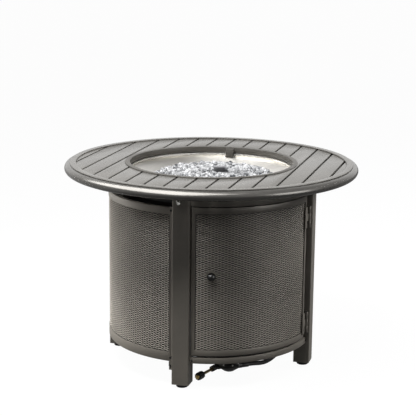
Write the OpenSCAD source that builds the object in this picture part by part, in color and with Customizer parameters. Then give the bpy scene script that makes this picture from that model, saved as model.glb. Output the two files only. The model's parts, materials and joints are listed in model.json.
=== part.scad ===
// Round gas fire pit table: plank top on four legs, drum of mesh panels with a door,
// burner pan with fire glass, and the gas train inside the drum.
// The origin is on the floor at the centre. The front leg is on -Y and the right leg on +X.
// An azimuth is measured from -Y towards +X, and the door is between the front and right legs.

/* [Table top] */
// Height of the table top above the floor
top_h = 635; // [560:1:720]
// Outside diameter of the table top
top_d = 914; // [840:2:1000]
// Diameter of the fire opening in the top
opening_d = 508; // [460:2:560]
// Thickness of the planks
plank_t = 12; // [8:0.5:18]
// Distance from one plank to the next
plank_pitch = 61.2; // [48:0.2:80]
// Gap between neighbouring planks
plank_gap = 6.5; // [3:0.5:9]
// Width of the flat border ring over the plank ends
border_w = 19; // [12:1:28]
// Thickness of the border ring
border_t = 3; // [2:0.5:6]
// Width of the bullnose rim outside the border
rim_w = 17; // [12:1:28]
// Height of the bullnose rim
rim_h = 29; // [26:1:46]
// Step from the border down to the rim
rim_step = 3.5; // [1:0.5:4]
// Width of the ledge on the rim that carries the plank ends
ledge_w = 16; // [10:1:24]
// Thickness of the ledge
ledge_t = 8; // [5:0.5:10]
// Width of the flat collar round the opening
collar_w = 15; // [8:1:24]
// Thickness of the collar's sheet
collar_t = 2; // [1.5:0.5:3]
// Depth of the collar's wall down into the opening
collar_drop = 16; // [13:0.5:17]
// Width of the spokes under the planks
spoke_w = 40; // [30:1:50]
// Depth of the spokes
spoke_t = 16; // [14:1:24]

/* [Support ring] */
// Height of the ring that carries the burner pan and the legs
ring_h = 64; // [56:1:90]
// Thickness of the ring's wall and shelf
ring_t = 4; // [3:0.5:6]
// Width of the ring's lip under the planks
ring_lip_w = 13.3; // [7:0.1:16]
// Depth of the pan's seat below the planks
seat_drop = 7.2; // [6:0.2:10]

/* [Legs and feet] */
// Width of a leg across its outer face
leg_w = 53; // [52:1:70]
// Depth of a leg
leg_depth = 50; // [42:1:62]
// Wall of the leg tube
leg_wall = 3; // [2:0.5:4]
// Radius of the leg's long edges
leg_edge_r = 3; // [1:0.5:5]
// How far a leg stands proud of the panels
leg_proud = 10; // [4:1:16]
// Diameter of a foot pad
foot_d = 36; // [26:1:42]
// Height of a foot pad
foot_h = 11; // [7:0.5:16]
// Diameter of a foot's threaded stud
foot_stud_d = 10; // [8:0.5:12]
// Travel of a levelling foot
foot_travel = 10; // [5:1:15]
// Height of the plug in a leg's lower end
plug_h = 24; // [18:1:32]

/* [Panels] */
// Clear height under the drum
drum_up = 80; // [60:1:110]
// Thickness of the panel frames
frame_t = 12; // [9:0.5:16]
// Width of the upright edges of a panel frame
stile_w = 11; // [8:0.5:16]
// Height of a fixed panel's lower band
panel_band_h = 28; // [20:1:40]
// Height of a fixed panel's upper band
panel_head_h = 21; // [14:1:30]
// Open height above a fixed panel
vent_h = 53; // [40:1:70]
// How far the ends of a fixed panel reach below it
panel_ear = 27; // [10:1:36]
// Thickness of the expanded mesh
mesh_t = 1.4; // [1:0.1:2]
// Depth of the mesh behind the frame's outer face
mesh_inset = 3.6; // [2.5:0.1:5]
// How far the mesh reaches behind the frame
mesh_lap = 4; // [2:0.5:6]

/* [Door] */
// Height of the rail above the door
header_h = 43; // [30:1:50]
// Height of the rail below the door
sill_h = 18; // [12:1:26]
// Gap above the door
door_gap_top = 3; // [2:0.5:6]
// Gap below the door
door_gap_bottom = 6; // [3:0.5:10]
// Gap beside the door's free edge
door_gap_free = 2.2; // [1.5:0.1:5]
// Gap between the door's hinge edge and the leg
door_gap_hinge = 25; // [22:0.5:32]
// Height of the door's lower band
door_band_h = 17.5; // [12:0.5:28]
// Height of the door's upper band
door_head_h = 19; // [12:0.5:28]
// Height of a hinge
hinge_h = 66; // [48:1:80]
// Height of the lower hinge's foot above the door's lower edge
hinge_low = 13; // [6:1:30]
// Height of the upper hinge's head below the door's upper edge
hinge_high = 36; // [6:1:50]
// Outside diameter of a hinge knuckle
knuckle_d = 10; // [8:0.5:12]
// Diameter of a hinge pin
hinge_pin_d = 5; // [4:0.25:6]
// Distance of the hinge axis from the leg
hinge_off = 11; // [9:0.5:13]
// Diameter of the door knob
knob_d = 25; // [18:1:34]
// Height of the knob above the door's lower edge
knob_up = 250; // [120:1:330]
// Distance of the knob from the door's free edge
knob_inset = 59; // [34:1:80]
// Diameter of the knob's rose
rose_d = 30; // [22:1:40]

/* [Burner] */
// Depth of the burner pan
pan_depth = 45; // [38:1:60]
// Radius of the pan's flat floor
pan_floor_r = 178; // [150:1:200]
// Thickness of the pan's sheet
pan_t = 1.2; // [0.8:0.1:2]
// Width of the pan's lip inside the opening
pan_lip_w = 4; // [2:0.5:8]
// Height of the fire glass over the pan's floor at the centre
glass_h = 34; // [31:1:42]
// Height of the fire glass over the pan's floor at its edge
glass_edge_h = 17; // [10:1:20]
// Radius of the fire glass
glass_r = 195; // [180:1:205]
// Radius of the burner ring
burner_r = 105; // [80:1:130]
// Diameter of the burner tube
burner_tube_d = 16; // [12:0.5:18]
// Width of the pilot hood
hood_w = 39; // [30:1:50]
// Height of the pilot hood
hood_h = 22; // [16:1:30]
// Depth of the pilot hood
hood_depth = 26; // [22:1:34]

/* [Controls] */
// Width of the control plate
plate_w = 150; // [140:1:190]
// Height of the control plate
plate_h = 84; // [70:1:110]
// Thickness of the control plate at its middle
plate_t = 6; // [4:0.5:10]
// Distance of the knob and the button from the plate's middle
control_off = 36; // [32:1:48]
// Diameter of the gas knob
valve_knob_d = 38; // [28:1:48]
// Height of the gas knob
valve_knob_h = 22; // [16:1:30]
// Travel of the gas knob when it is pushed
valve_travel = 3; // [2:0.5:4]
// Diameter of the valve's stem
valve_stem_d = 6; // [5:0.5:8]
// Diameter of the igniter button
button_d = 14; // [10:0.5:17]
// Travel of the igniter button
button_travel = 4; // [2:0.5:5]

/* [Gas supply] */
// Diameter of the gas hose
hose_d = 14; // [10:0.5:16]
// Diameter of the regulator
regulator_d = 68; // [56:1:80]
// Height of the regulator
regulator_h = 33; // [30:1:44]
// Diameter of the handwheel on the regulator's inlet
handwheel_d = 24; // [22:1:34]
// Length of the handwheel
handwheel_l = 24; // [16:1:30]
// Diameter of the brass stem
brass_d = 9; // [7:0.5:12]

/* [Hidden] */
$fn = 64;

// Clearances
seat = 0.2;
air = 0.5;
running = 0.05;
cut = 1;

// Heights, from the top down
plank_z1 = top_h - border_t;
plank_z0 = plank_z1 - plank_t;
spoke_z0 = plank_z0 - spoke_t;
rim_z1 = top_h - rim_step;
rim_z0 = rim_z1 - rim_h;
ring_z0 = plank_z0 - ring_h;
flange_z = plank_z0 - seat_drop;
pan_floor_z = flange_z - pan_depth;
pan_neck = 5.8;
pan_wall_z = flange_z - pan_neck;
clip_a = 181;
glass_z0 = pan_floor_z + pan_t + seat;

// Radii of the top, from the outside in
top_r = top_d / 2;
border_r = top_r - rim_w;
plank_r = border_r - seat;
border_in_r = border_r - border_w;
plank_w = plank_pitch - plank_gap;
plank_least_w = 8;
plank_side = floor((plank_r + plank_w / 2 - plank_least_w) / plank_pitch);

// Radii of the base, from the opening out
pan_wall_out = 1;
pan_flange_w = 12;
pan_play = 1.5;
opening_r = opening_d / 2;
collar_wall_r = opening_r + collar_t;
plank_in_r = collar_wall_r + air;
pan_wall_r = opening_r + pan_wall_out;
pan_flange_r = opening_r + pan_flange_w;
seat_r = pan_wall_r + pan_t + pan_play;
ring_lip_r = pan_flange_r + pan_play;
ring_r = ring_lip_r + ring_lip_w;
leg_in_r = ring_r + seat;
leg_r = leg_in_r + leg_depth;
drum_r = leg_r - leg_proud;
frame_r = drum_r - frame_t;
mesh_r = drum_r - mesh_inset;
foot_r = leg_r - leg_depth / 2;

// Heights of the base
leg_z0 = foot_h + air;
panel_z1 = spoke_z0 - vent_h;
header_z1 = spoke_z0 - 2;
header_z0 = header_z1 - header_h;
sill_z1 = drum_up + sill_h;
door_z0 = sill_z1 + door_gap_bottom;
door_z1 = header_z0 - door_gap_top;

// Door: azimuths of its edges, its hinge axis and its knob
door_a0 = asin((leg_w / 2 + door_gap_free) / frame_r);
door_a1 = 90 - asin((leg_w / 2 + door_gap_hinge) / drum_r);
hinge_x = drum_r + 1.6;
hinge_y = -(leg_w / 2 + hinge_off);
hinge_a = atan2(hinge_x, -hinge_y);
hinge_zs = [door_z0 + hinge_low, door_z1 - hinge_high - hinge_h];
leaf_t = 2.5;
knuckle_gap = 0.4;
knuckle_h = (hinge_h - 2 * knuckle_gap) / 3;
stile_a = stile_w / drum_r * 180 / PI;
knob_a = door_a0 + knob_inset / drum_r * 180 / PI;
knob_z = door_z0 + knob_up;
knob_screw_d = 5;
knob_neck_l = 7;

// Screws and brackets
screw_d = 4;
screw_head_d = 7;
screw_head_t = 1.6;
screw_side = leg_w / 2 + stile_w / 2 + 1;
bracket_t = 2.2;
bracket_w = 16;
bracket_h = 14;
bracket_l = 18;
wing_d = 6;
wing_z = spoke_z0 - 36;
wing_side = -7;
fixed_screw_zs = [
    drum_up - panel_ear / 2,
    drum_up + (panel_band_h - mesh_lap) / 2,
    panel_z1 - (panel_head_h - mesh_lap) / 2
];
door_screw_zs = [drum_up + sill_h / 2, header_z0 + header_h / 2];

// Burner
hub_r = 11;
hub_drop = 14;
burner_z = pan_floor_z + pan_t + 4 + burner_tube_d / 2;
hub_top_z = burner_z + burner_tube_d / 2;
mixer_r = 10;
mixer_h = 34;
mixer_z1 = pan_floor_z - hub_drop;
mixer_z0 = mixer_z1 - mixer_h;
elbow_s = 22;
elbow_z = mixer_z0 - elbow_s / 2;
elbow_reach = 30;
pilot_x = 24;
pilot_y = 19;
pilot_turn = 15;
pilot_z = glass_z0 + glass_h - 11;
probe_d = 5;
probe_off = 8;
spark_d = 3;
pilot_hole_r = 10;
lead_d = 5;

// Controls on the back right panel
control_a = 135;
control_z = panel_z1 - panel_head_h - 32;
plate_z1 = panel_z1 - 1;
plate_z0 = plate_z1 - plate_h;
plate_face = drum_r + plate_t;
valve_v = -control_off;
valve_u0 = drum_r - 71;
valve_l = 38;
valve_w = 32;
valve_h = 36;
valve_neck_d = 16;
valve_inlet_u = drum_r - 51;
valve_inlet_d = 16;
valve_inlet_z = control_z - valve_h / 2 - 14;
valve_knob_u = plate_face + valve_travel + 4;
valve_stem_l = valve_knob_h * 0.7;
igniter_d = 20;
igniter_u0 = drum_r - 37;
bezel_d = 27;
bezel_t = 3;
button_out = button_travel + 5;

// Gas supply on the floor
floor_gap = 0.6;
ferrule_d = 17;
ferrule_l = 24;
supply_z = handwheel_d / 2 + floor_gap;
handwheel_x = 36;
handwheel_y = -236;
brass_turn = -15.8;
inlet_nut_d = 20;
inlet_nut_at = 70;
inlet_nut_l = 22;
inlet_elbow_at = 110;
regulator_x = 100;
regulator_y = -132;
outlet_turn = 38.5;
outlet_l = regulator_d / 2 + 8;

// Routes of the hose and the lines through points chosen by hand.
// The third number of a point is its share of the rise from the route's lower level to its upper one.
function lifted(points, z0, z1) = [for (p = points) [p[0], p[1], z0 + p[2] * (z1 - z0)]];

hose_lift = 0.75;
hose_floor_z = hose_d / 2 + hose_lift;
hose_top_z = valve_inlet_z - ferrule_l - seat;
hose_drop = [
    [216, 166, 1], [216, 166, 0.9315], [216, 166, 0.8441], [216, 165, 0.7199], [216, 160, 0.5589],
    [216, 152, 0.4071], [216, 140, 0.2691], [215.5, 124, 0.1495], [215, 104, 0.0621], [214, 82, 0.0161],
    [213, 58, 0.0009], [211.5, 34, 0], [208.5, 12, 0]
];
hose_rise = [
    [204.5, -10, 0], [199, -30, 0], [192, -47, 0.062], [183, -61.5, 0.354], [172.5, -73.5, 0.771],
    [162, -82.7, 0.99], [152.2, -90.5, 1]
];
hose_route = concat(lifted(hose_drop, hose_floor_z, hose_top_z), lifted(hose_rise, hose_floor_z, supply_z));
line_points = [
    [21.5, 21.5, 1], [30, 30, 1], [42, 41, 0.926], [60, 56, 0.648], [84, 74, 0.278], [112, 91, 0.046],
    [140, 106, -0.037], [163, 118, -0.019], [180, 130, 0], [192, 141.5, 0], [201.8, 151.3, 0]
];
line_route = lifted(line_points, control_z, elbow_z);
spark_drop = 18;
spark_foot_z = pan_floor_z - spark_drop;
spark_points = [
    [175, 226, 0], [165, 213, 0], [148, 190, 0.039], [124, 158, 0.136], [98, 122, 0.253],
    [72, 84, 0.37], [50, 52, 0.486], [36, 31, 0.623], [29, 20.3, 0.817], [29, 20.3, 1]
];
spark_route = lifted(spark_points, control_z, spark_foot_z - 3 * seat);

bronze = [0.2, 0.19, 0.175];
bronze_top = [0.42, 0.41, 0.39];
steel = [0.78, 0.77, 0.74];
black = [0.06, 0.06, 0.06];
brass = [0.72, 0.56, 0.26];

// Outline of a rectangle with round corners, centred on the origin
function round_rect(w, d, r, n = 4) = [
    for (c = [[1, 1, 0], [-1, 1, 90], [-1, -1, 180], [1, -1, 270]], i = [0:n])
        [c[0] * (w / 2 - r) + r * cos(c[2] + 90 * i / n), c[1] * (d / 2 - r) + r * sin(c[2] + 90 * i / n)]
];

// Point of a smooth curve between b and c, at t from 0 to 1
function curve(a, b, c, d, t) =
    0.5 * (2 * b + (c - a) * t + (2 * a - 5 * b + 4 * c - d) * t * t + (3 * b - a - 3 * c + d) * t * t * t);

// A route with n steps from each of its points to the next
function smooth(p, n) = [
    for (i = [0:len(p) - 2], k = [0:n - 1])
        curve(p[max(i - 1, 0)], p[i], p[i + 1], p[min(i + 2, len(p) - 1)], k / n),
    p[len(p) - 1]
];

function unit(v) = v / norm(v);

// Ring of a tube round point i of route p, square to the route; side is never along the route
function tube_ring(p, i, r, sides, side) =
    let (along = unit(p[min(i + 1, len(p) - 1)] - p[max(i - 1, 0)]))
    let (a = unit(cross(along, side)))
    let (b = cross(along, a))
    [for (k = [0:sides - 1]) p[i] + r * (cos(360 * k / sides) * a + sin(360 * k / sides) * b)];

// Tube of one polyhedron along a route
module tube(route, d, sides, side, steps = 2) {
    p = smooth(route, steps);
    last = len(p) - 1;
    points = [for (i = [0:last]) each tube_ring(p, i, d / 2, sides, side)];
    walls = [
        for (i = [0:last - 1], k = [0:sides - 1])
            let (a = i * sides + k, b = i * sides + (k + 1) % sides)
            each [[a, b, a + sides], [b, b + sides, a + sides]]
    ];
    start = [for (k = [1:sides - 2]) [0, k + 1, k]];
    finish = [for (k = [1:sides - 2]) [last * sides, last * sides + k, last * sides + k + 1]];
    polyhedron(points, concat(walls, start, finish), convexity = 6);
}

// Part of a ring between two azimuths
module arc(r0, r1, z0, z1, a0, a1) {
    rotate([0, 0, a0 - 90])
        rotate_extrude(angle = a1 - a0, $fn = 180)
            translate([r0, z0])
                square([r1 - r0, z1 - z0]);
}

// Whole ring of a rectangular section
module ring(r0, r1, z0, z1) {
    rotate_extrude($fn = 180)
        translate([r0, z0])
            square([r1 - r0, z1 - z0]);
}

// Box at azimuth a: from u0 to u1 outwards, v0 to v1 sideways, z0 to z1 upwards
module block(a, u0, u1, v0, v1, z0, z1) {
    rotate([0, 0, a])
        translate([v0, -u1, z0])
            cube([v1 - v0, u1 - u0, z1 - z0]);
}

// Cylinder that points outwards at azimuth a, from u0 to u1, at sideways place v and height z
module spike(a, v, z, u0, u1, d) {
    rotate([0, 0, a])
        translate([v, -u0, z])
            rotate([90, 0, 0])
                cylinder(h = u1 - u0, d = d);
}

// Cylinder on the axis of the gas valve
module on_valve(u0, u1, d) {
    spike(control_a, -control_off, control_z, u0, u1, d);
}

// Cylinder on the axis of the igniter
module on_igniter(u0, u1, d) {
    spike(control_a, control_off, control_z, u0, u1, d);
}

// Room that the four legs take, with a fit round them
module leg_room() {
    for (a = [0:90:270])
        block(a, leg_in_r - cut, leg_r + cut, -leg_w / 2 - seat, leg_w / 2 + seat, 0, top_h);
}

// Top

module top_rim() {
    rim_zc = (rim_z0 + rim_z1) / 2;
    steps = 16;
    bullnose = [
        for (i = [0:steps])
            [border_r + rim_w * cos(180 * i / steps - 90), rim_zc + rim_h / 2 * sin(180 * i / steps - 90)]
    ];
    color(bronze)
        rotate_extrude($fn = 180)
            polygon(concat(bullnose, [
                [border_r, plank_z0],
                [border_r - ledge_w, plank_z0],
                [border_r - ledge_w, plank_z0 - ledge_t],
                [border_r, plank_z0 - ledge_t]
            ]));
}

module top_border() {
    color(bronze_top)
        ring(border_in_r, border_r, plank_z1, top_h);
}

module top_planks() {
    color(bronze_top)
        for (i = [-plank_side:plank_side])
            difference() {
                intersection() {
                    translate([0, 0, plank_z0])
                        cylinder(h = plank_t, r = plank_r, $fn = 180);
                    translate([i * plank_pitch - plank_w / 2, -top_r, plank_z0])
                        cube([plank_w, top_d, plank_t]);
                }
                translate([0, 0, plank_z0 - cut])
                    cylinder(h = plank_t + 2 * cut, r = plank_in_r, $fn = 180);
            }
}

module top_collar() {
    collar_z0 = plank_z1 - collar_drop;
    color(bronze)
        rotate_extrude($fn = 180)
            polygon([
                [opening_r, collar_z0],
                [collar_wall_r, collar_z0],
                [collar_wall_r, plank_z1],
                [opening_r + collar_w, plank_z1],
                [opening_r + collar_w, plank_z1 + collar_t],
                [opening_r, plank_z1 + collar_t]
            ]);
}

module top_spokes() {
    end_r = sqrt(pow(border_r, 2) - pow(spoke_w / 2, 2)) - seat;
    step_r = sqrt(pow(border_r - ledge_w, 2) - pow(spoke_w / 2, 2)) - seat;
    color(bronze)
        for (a = [0:90:270])
            union() {
                block(a, leg_in_r, step_r, -spoke_w / 2, spoke_w / 2, spoke_z0, plank_z0);
                block(a, leg_in_r, end_r, -spoke_w / 2, spoke_w / 2, spoke_z0, plank_z0 - ledge_t);
            }
}

module support_ring() {
    color(black)
        difference() {
            rotate_extrude($fn = 180)
                polygon([
                    [ring_r - ring_t, ring_z0],
                    [ring_r, ring_z0],
                    [ring_r, plank_z0],
                    [ring_lip_r, plank_z0],
                    [ring_lip_r, flange_z],
                    [seat_r, flange_z],
                    [seat_r, flange_z - ring_t],
                    [ring_r - ring_t, flange_z - ring_t]
                ]);
            for (a = [0:90:270])
                spike(a, wing_side, wing_z, ring_r - 3 * ring_t, leg_in_r, wing_d + 2 * seat);
        }
}

// Legs and feet

module leg(a) {
    color(bronze)
        difference() {
            rotate([0, 0, a])
                translate([0, -foot_r, leg_z0])
                    linear_extrude(spoke_z0 - leg_z0)
                        difference() {
                            polygon(round_rect(leg_w, leg_depth, leg_edge_r));
                            square([leg_w - 2 * leg_wall, leg_depth - 2 * leg_wall], center = true);
                        }
            spike(a, wing_side, wing_z, leg_in_r - cut, leg_r + cut, wing_d + 2 * seat);
        }
}

module leg_plugs() {
    w = leg_w - 2 * leg_wall - 2 * seat;
    d = leg_depth - 2 * leg_wall - 2 * seat;
    color(black)
        for (a = [0:90:270])
            rotate([0, 0, a])
                translate([0, -foot_r, leg_z0])
                    difference() {
                        translate([-w / 2, -d / 2, 0])
                            cube([w, d, plug_h]);
                        translate([0, 0, -cut])
                            cylinder(h = plug_h + 2 * cut, d = foot_stud_d + 2 * running);
                    }
}

module foot(a) {
    edge = 1.5;
    color(black)
        rotate([0, 0, a])
            translate([0, -foot_r, 0])
                rotate_extrude()
                    polygon([
                        [0, 0],
                        [foot_d / 2 - edge, 0],
                        [foot_d / 2, edge],
                        [foot_d / 2, foot_h - edge],
                        [foot_d / 2 - edge, foot_h],
                        [foot_stud_d / 2, foot_h],
                        [foot_stud_d / 2, leg_z0 + plug_h + foot_travel],
                        [0, leg_z0 + plug_h + foot_travel]
                    ]);
}

// A wing-headed screw through each leg into the support ring
module wing_screws() {
    neck_d = 10;
    neck_l = 4;
    wing_t = 3;
    wing_h = 9;
    color(steel)
        for (a = [0:90:270])
            union() {
                spike(a, wing_side, wing_z, ring_r - 2 * ring_t, leg_r + neck_l, wing_d);
                spike(a, wing_side, wing_z, leg_r + seat, leg_r + neck_l, neck_d);
                for (tilt = [-35, 35])
                    rotate([0, 0, a])
                        translate([wing_side, -leg_r - neck_l - wing_t / 2, wing_z])
                            rotate([0, tilt, 0])
                                translate([-wing_t / 2, -wing_t, 0])
                                    cube([wing_t, 2 * wing_t, wing_h]);
                spike(a, wing_side, wing_z, leg_r + neck_l, leg_r + neck_l + wing_t, neck_d * 0.8);
            }
}

// Panels

// Heights of the screws beside the leg at azimuth a, on the side s; the door's quadrant has its own
function side_screws(a, s) = (a == 0 && s == 1) || (a == 90 && s == -1) ? door_screw_zs : fixed_screw_zs;

module at_each_screw() {
    for (a = [0:90:270], s = [-1, 1], z = side_screws(a, s))
        rotate([0, 0, a])
            mirror([s < 0 ? 1 : 0, 0, 0])
                translate([screw_side, 0, z])
                    children();
}

module screw_holes() {
    at_each_screw()
        translate([0, -frame_r + 2 * bracket_l, 0])
            rotate([90, 0, 0])
                cylinder(h = 3 * bracket_l, d = screw_d + 2 * seat);
}

module panel_screws() {
    shank_u0 = frame_r - bracket_t - 3;
    head_u = sqrt(pow(drum_r, 2) - pow(screw_side - screw_head_d / 2, 2)) + seat / 4;
    color(black)
        at_each_screw()
            union() {
                translate([0, -shank_u0, 0])
                    rotate([90, 0, 0])
                        cylinder(h = head_u - shank_u0 + screw_head_t, d = screw_d);
                translate([0, -head_u, 0])
                    rotate([90, 0, 0])
                        cylinder(h = screw_head_t, d = screw_head_d);
            }
}

// Angle brackets inside the drum that join the frames to the sides of the legs
module panel_brackets() {
    side = leg_w / 2 + seat / 2;
    reach = asin((side + bracket_w) / frame_r);
    back_r = frame_r - seat;
    corner_u = sqrt(pow(frame_r, 2) - pow(side + bracket_t, 2)) - seat;
    color(black)
        difference() {
            at_each_screw()
                union() {
                    translate([side - screw_side, -corner_u, -bracket_h / 2])
                        cube([bracket_t, bracket_l, bracket_h]);
                    translate([-screw_side, 0, 0])
                        difference() {
                            arc(back_r - bracket_t, back_r, -bracket_h / 2, bracket_h / 2, 0, reach);
                            translate([-cut, -drum_r, -bracket_h])
                                cube([side + cut, drum_r, 2 * bracket_h]);
                        }
                }
            screw_holes();
        }
}

// Frame of a curved panel from z0 to z1 with a window and a rebate for the mesh
module panel_frame(a0, a1, z0, z1, low, high, b0, b1) {
    lap_a = mesh_lap / drum_r * 180 / PI;
    window_z0 = z0 + low;
    window_z1 = z1 - high;
    rebate_r = mesh_r + seat / 2;
    difference() {
        arc(frame_r, drum_r, z0, z1, a0, a1);
        arc(frame_r - cut, drum_r + cut, window_z0, window_z1, b0, b1);
        arc(frame_r - 2 * cut, rebate_r, window_z0 - mesh_lap, window_z1 + mesh_lap, b0 - lap_a, b1 + lap_a);
    }
}

// Sheet of expanded mesh in that rebate
module panel_mesh(z0, z1, low, high, b0, b1) {
    lap_a = (mesh_lap - seat) / drum_r * 180 / PI;
    lap = mesh_lap - seat;
    arc(mesh_r - mesh_t, mesh_r, z0 + low - lap, z1 - high + lap, b0 - lap_a, b1 + lap_a);
}

// Azimuth of the inner edge of a fixed panel's stile
function fixed_edge() = asin((leg_w / 2 + stile_w) / drum_r);

// Frame of a fixed panel, whose stiles reach below its lower band as two ears
module fixed_frame(a) {
    e = fixed_edge();
    ear_z = drum_up - panel_ear;
    band_h = panel_ear + panel_band_h;
    color(bronze)
        difference() {
            panel_frame(a, a + 90, ear_z, panel_z1, band_h, panel_head_h, a + e, a + 90 - e);
            arc(frame_r - 3 * cut, drum_r + 3 * cut, ear_z - cut, drum_up, a + e, a + 90 - e);
            leg_room();
            screw_holes();
        }
}

module fixed_mesh(a) {
    e = fixed_edge();
    color(bronze)
        panel_mesh(drum_up, panel_z1, panel_band_h, panel_head_h, a + e, a + 90 - e);
}

// The back right mesh is opened for the valve's neck and the igniter
module control_mesh() {
    difference() {
        fixed_mesh(90);
        on_valve(frame_r - cut, drum_r, valve_neck_d + 4);
        on_igniter(frame_r - 2 * cut, drum_r + cut, igniter_d + 4);
    }
}

// Door

module door_header() {
    color(bronze)
        difference() {
            arc(frame_r, drum_r, header_z0, header_z1, 0, 90);
            leg_room();
            screw_holes();
        }
}

module door_sill() {
    color(bronze)
        difference() {
            arc(frame_r, drum_r, drum_up, sill_z1, 0, 90);
            leg_room();
            screw_holes();
        }
}

// Strip behind the gap under the door, cut away round the bracket at the front leg
module door_stop() {
    strip_t = 2.5;
    lip_up = 18;
    setback = 2;
    end_gap = 1.5;
    foot_r = frame_r - seat;
    lip_r = frame_r - setback;
    strip_z0 = drum_up + 4;
    bracket_side = leg_w / 2 + bracket_w + end_gap;
    free_a = asin((leg_w / 2 + end_gap) / lip_r);
    hinge_side_a = asin(bracket_side / frame_r);
    color(black)
        difference() {
            rotate([0, 0, free_a - 90])
                rotate_extrude(angle = 90 - free_a - hinge_side_a, $fn = 180)
                    polygon([
                        [lip_r - strip_t, strip_z0],
                        [foot_r, strip_z0],
                        [foot_r, sill_z1 - 1],
                        [lip_r, sill_z1 + setback],
                        [lip_r, sill_z1 + lip_up],
                        [lip_r - strip_t, sill_z1 + lip_up]
                    ]);
            block(0, lip_r - 4 * strip_t, drum_r, 0, bracket_side, drum_up, sill_z1);
        }
}

module door_frame() {
    color(bronze)
        panel_frame(door_a0, door_a1, door_z0, door_z1, door_band_h, door_head_h,
            door_a0 + stile_a, door_a1 - stile_a);
}

module door_mesh() {
    color(bronze)
        difference() {
            panel_mesh(door_z0, door_z1, door_band_h, door_head_h, door_a0 + stile_a, door_a1 - stile_a);
            spike(knob_a, 0, knob_z, frame_r, drum_r, knob_screw_d + 2 * seat);
        }
}

module knob_rose() {
    rose_u = mesh_r + seat / 2;
    color(bronze)
        difference() {
            union() {
                spike(knob_a, 0, knob_z, rose_u, rose_u + 2.5, rose_d);
                spike(knob_a, 0, knob_z, rose_u, rose_u + 4.5, rose_d - 8);
            }
            spike(knob_a, 0, knob_z, rose_u - cut, rose_u + 10, knob_screw_d + 2 * seat);
        }
}

// Ball knob on a short neck, drilled for its screw
module door_knob() {
    neck_u = mesh_r + 4.7;
    ball_u = neck_u + knob_neck_l + knob_d / 2 - 2;
    color(black)
        difference() {
            union() {
                spike(knob_a, 0, knob_z, neck_u, ball_u, knob_d / 2);
                rotate([0, 0, knob_a])
                    translate([0, -ball_u, knob_z])
                        sphere(d = knob_d);
            }
            spike(knob_a, 0, knob_z, neck_u - cut, ball_u, knob_screw_d + 2 * running);
        }
}

module knob_screw() {
    washer_u = mesh_r - mesh_t - 2.6;
    tip_u = mesh_r + 4.7 + knob_neck_l;
    color(steel)
        union() {
            spike(knob_a, 0, knob_z, washer_u, washer_u + 2, 14);
            spike(knob_a, 0, knob_z, washer_u - 3, washer_u, 9);
            spike(knob_a, 0, knob_z, washer_u, tip_u, knob_screw_d);
        }
}

// Bore of the hinge knuckles over the height of one hinge
module hinge_bore(z) {
    translate([hinge_x, hinge_y, z - cut])
        cylinder(h = hinge_h + 2 * cut, d = hinge_pin_d + 2 * running);
}

// Leaf on the door: a plate on the stile and a tongue to the middle knuckle
module hinge_door_leaves() {
    plate_r = drum_r + seat / 2;
    middle_z = knuckle_h + knuckle_gap;
    tongue_z0 = middle_z + seat;
    tongue_z1 = middle_z + knuckle_h - seat;
    plate_a = door_a1 + 0.3 / drum_r * 180 / PI;
    tongue_a = hinge_a + 0.25;
    color(bronze)
        for (z = hinge_zs)
            difference() {
                union() {
                    arc(plate_r, plate_r + leaf_t, z, z + hinge_h, plate_a - 1.4 * stile_a, plate_a);
                    arc(plate_r + seat, plate_r + leaf_t - seat, z + tongue_z0, z + tongue_z1,
                        plate_a - stile_a, tongue_a);
                    translate([hinge_x, hinge_y, z + middle_z])
                        cylinder(h = knuckle_h, d = knuckle_d);
                }
                hinge_bore(z);
            }
}

// Leaf on the leg: a plate on the leg's side and an arm to the upper and lower knuckles
module hinge_leg_leaves() {
    side_y = -leg_w / 2 - seat / 2;
    plate_l = 24;
    color(bronze)
        for (z = hinge_zs)
            difference() {
                union() {
                    translate([hinge_x + leaf_t / 2 - plate_l, side_y - leaf_t, z])
                        cube([plate_l, leaf_t, hinge_h]);
                    for (k = [0, 2 * (knuckle_h + knuckle_gap)]) {
                        translate([hinge_x, hinge_y, z + k])
                            cylinder(h = knuckle_h, d = knuckle_d);
                        translate([hinge_x - leaf_t / 2, hinge_y, z + k])
                            cube([leaf_t, side_y - hinge_y, knuckle_h]);
                    }
                }
                hinge_bore(z);
            }
}

module hinge_pins() {
    head_h = 1.5;
    color(steel)
        for (z = hinge_zs)
            translate([hinge_x, hinge_y, z])
                union() {
                    translate([0, 0, -head_h])
                        cylinder(h = hinge_h + 2 * head_h, d = hinge_pin_d);
                    for (k = [-head_h - seat / 2, hinge_h + seat / 2])
                        translate([0, 0, k])
                            cylinder(h = head_h, d = knuckle_d * 0.8);
                }
}

// Magnet behind the door's upper corner, hung from the header
module catch_magnet() {
    strike_t = 1.5;
    magnet_r = frame_r - strike_t - 2 * air;
    a0 = door_a0 + 4;
    color(black)
        union() {
            arc(magnet_r - 12, magnet_r, door_z1 - door_head_h + 4, header_z0 + 12, a0, a0 + 5);
            arc(magnet_r - 12, frame_r - seat / 2, header_z0 + 2, header_z0 + 12, a0, a0 + 5);
        }
}

module catch_strike() {
    strike_t = 1.5;
    a0 = door_a0 + 4;
    color(steel)
        arc(frame_r - strike_t, frame_r - seat / 2, door_z1 - door_head_h + 5, door_z1 - 2, a0, a0 + 5);
}

// Burner

// Radius of the pan's slope at height z
function slope_r(z) =
    pan_floor_r + (z - pan_floor_z - pan_t) * (pan_wall_r - pan_floor_r) / (pan_wall_z - pan_floor_z - pan_t);

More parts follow.
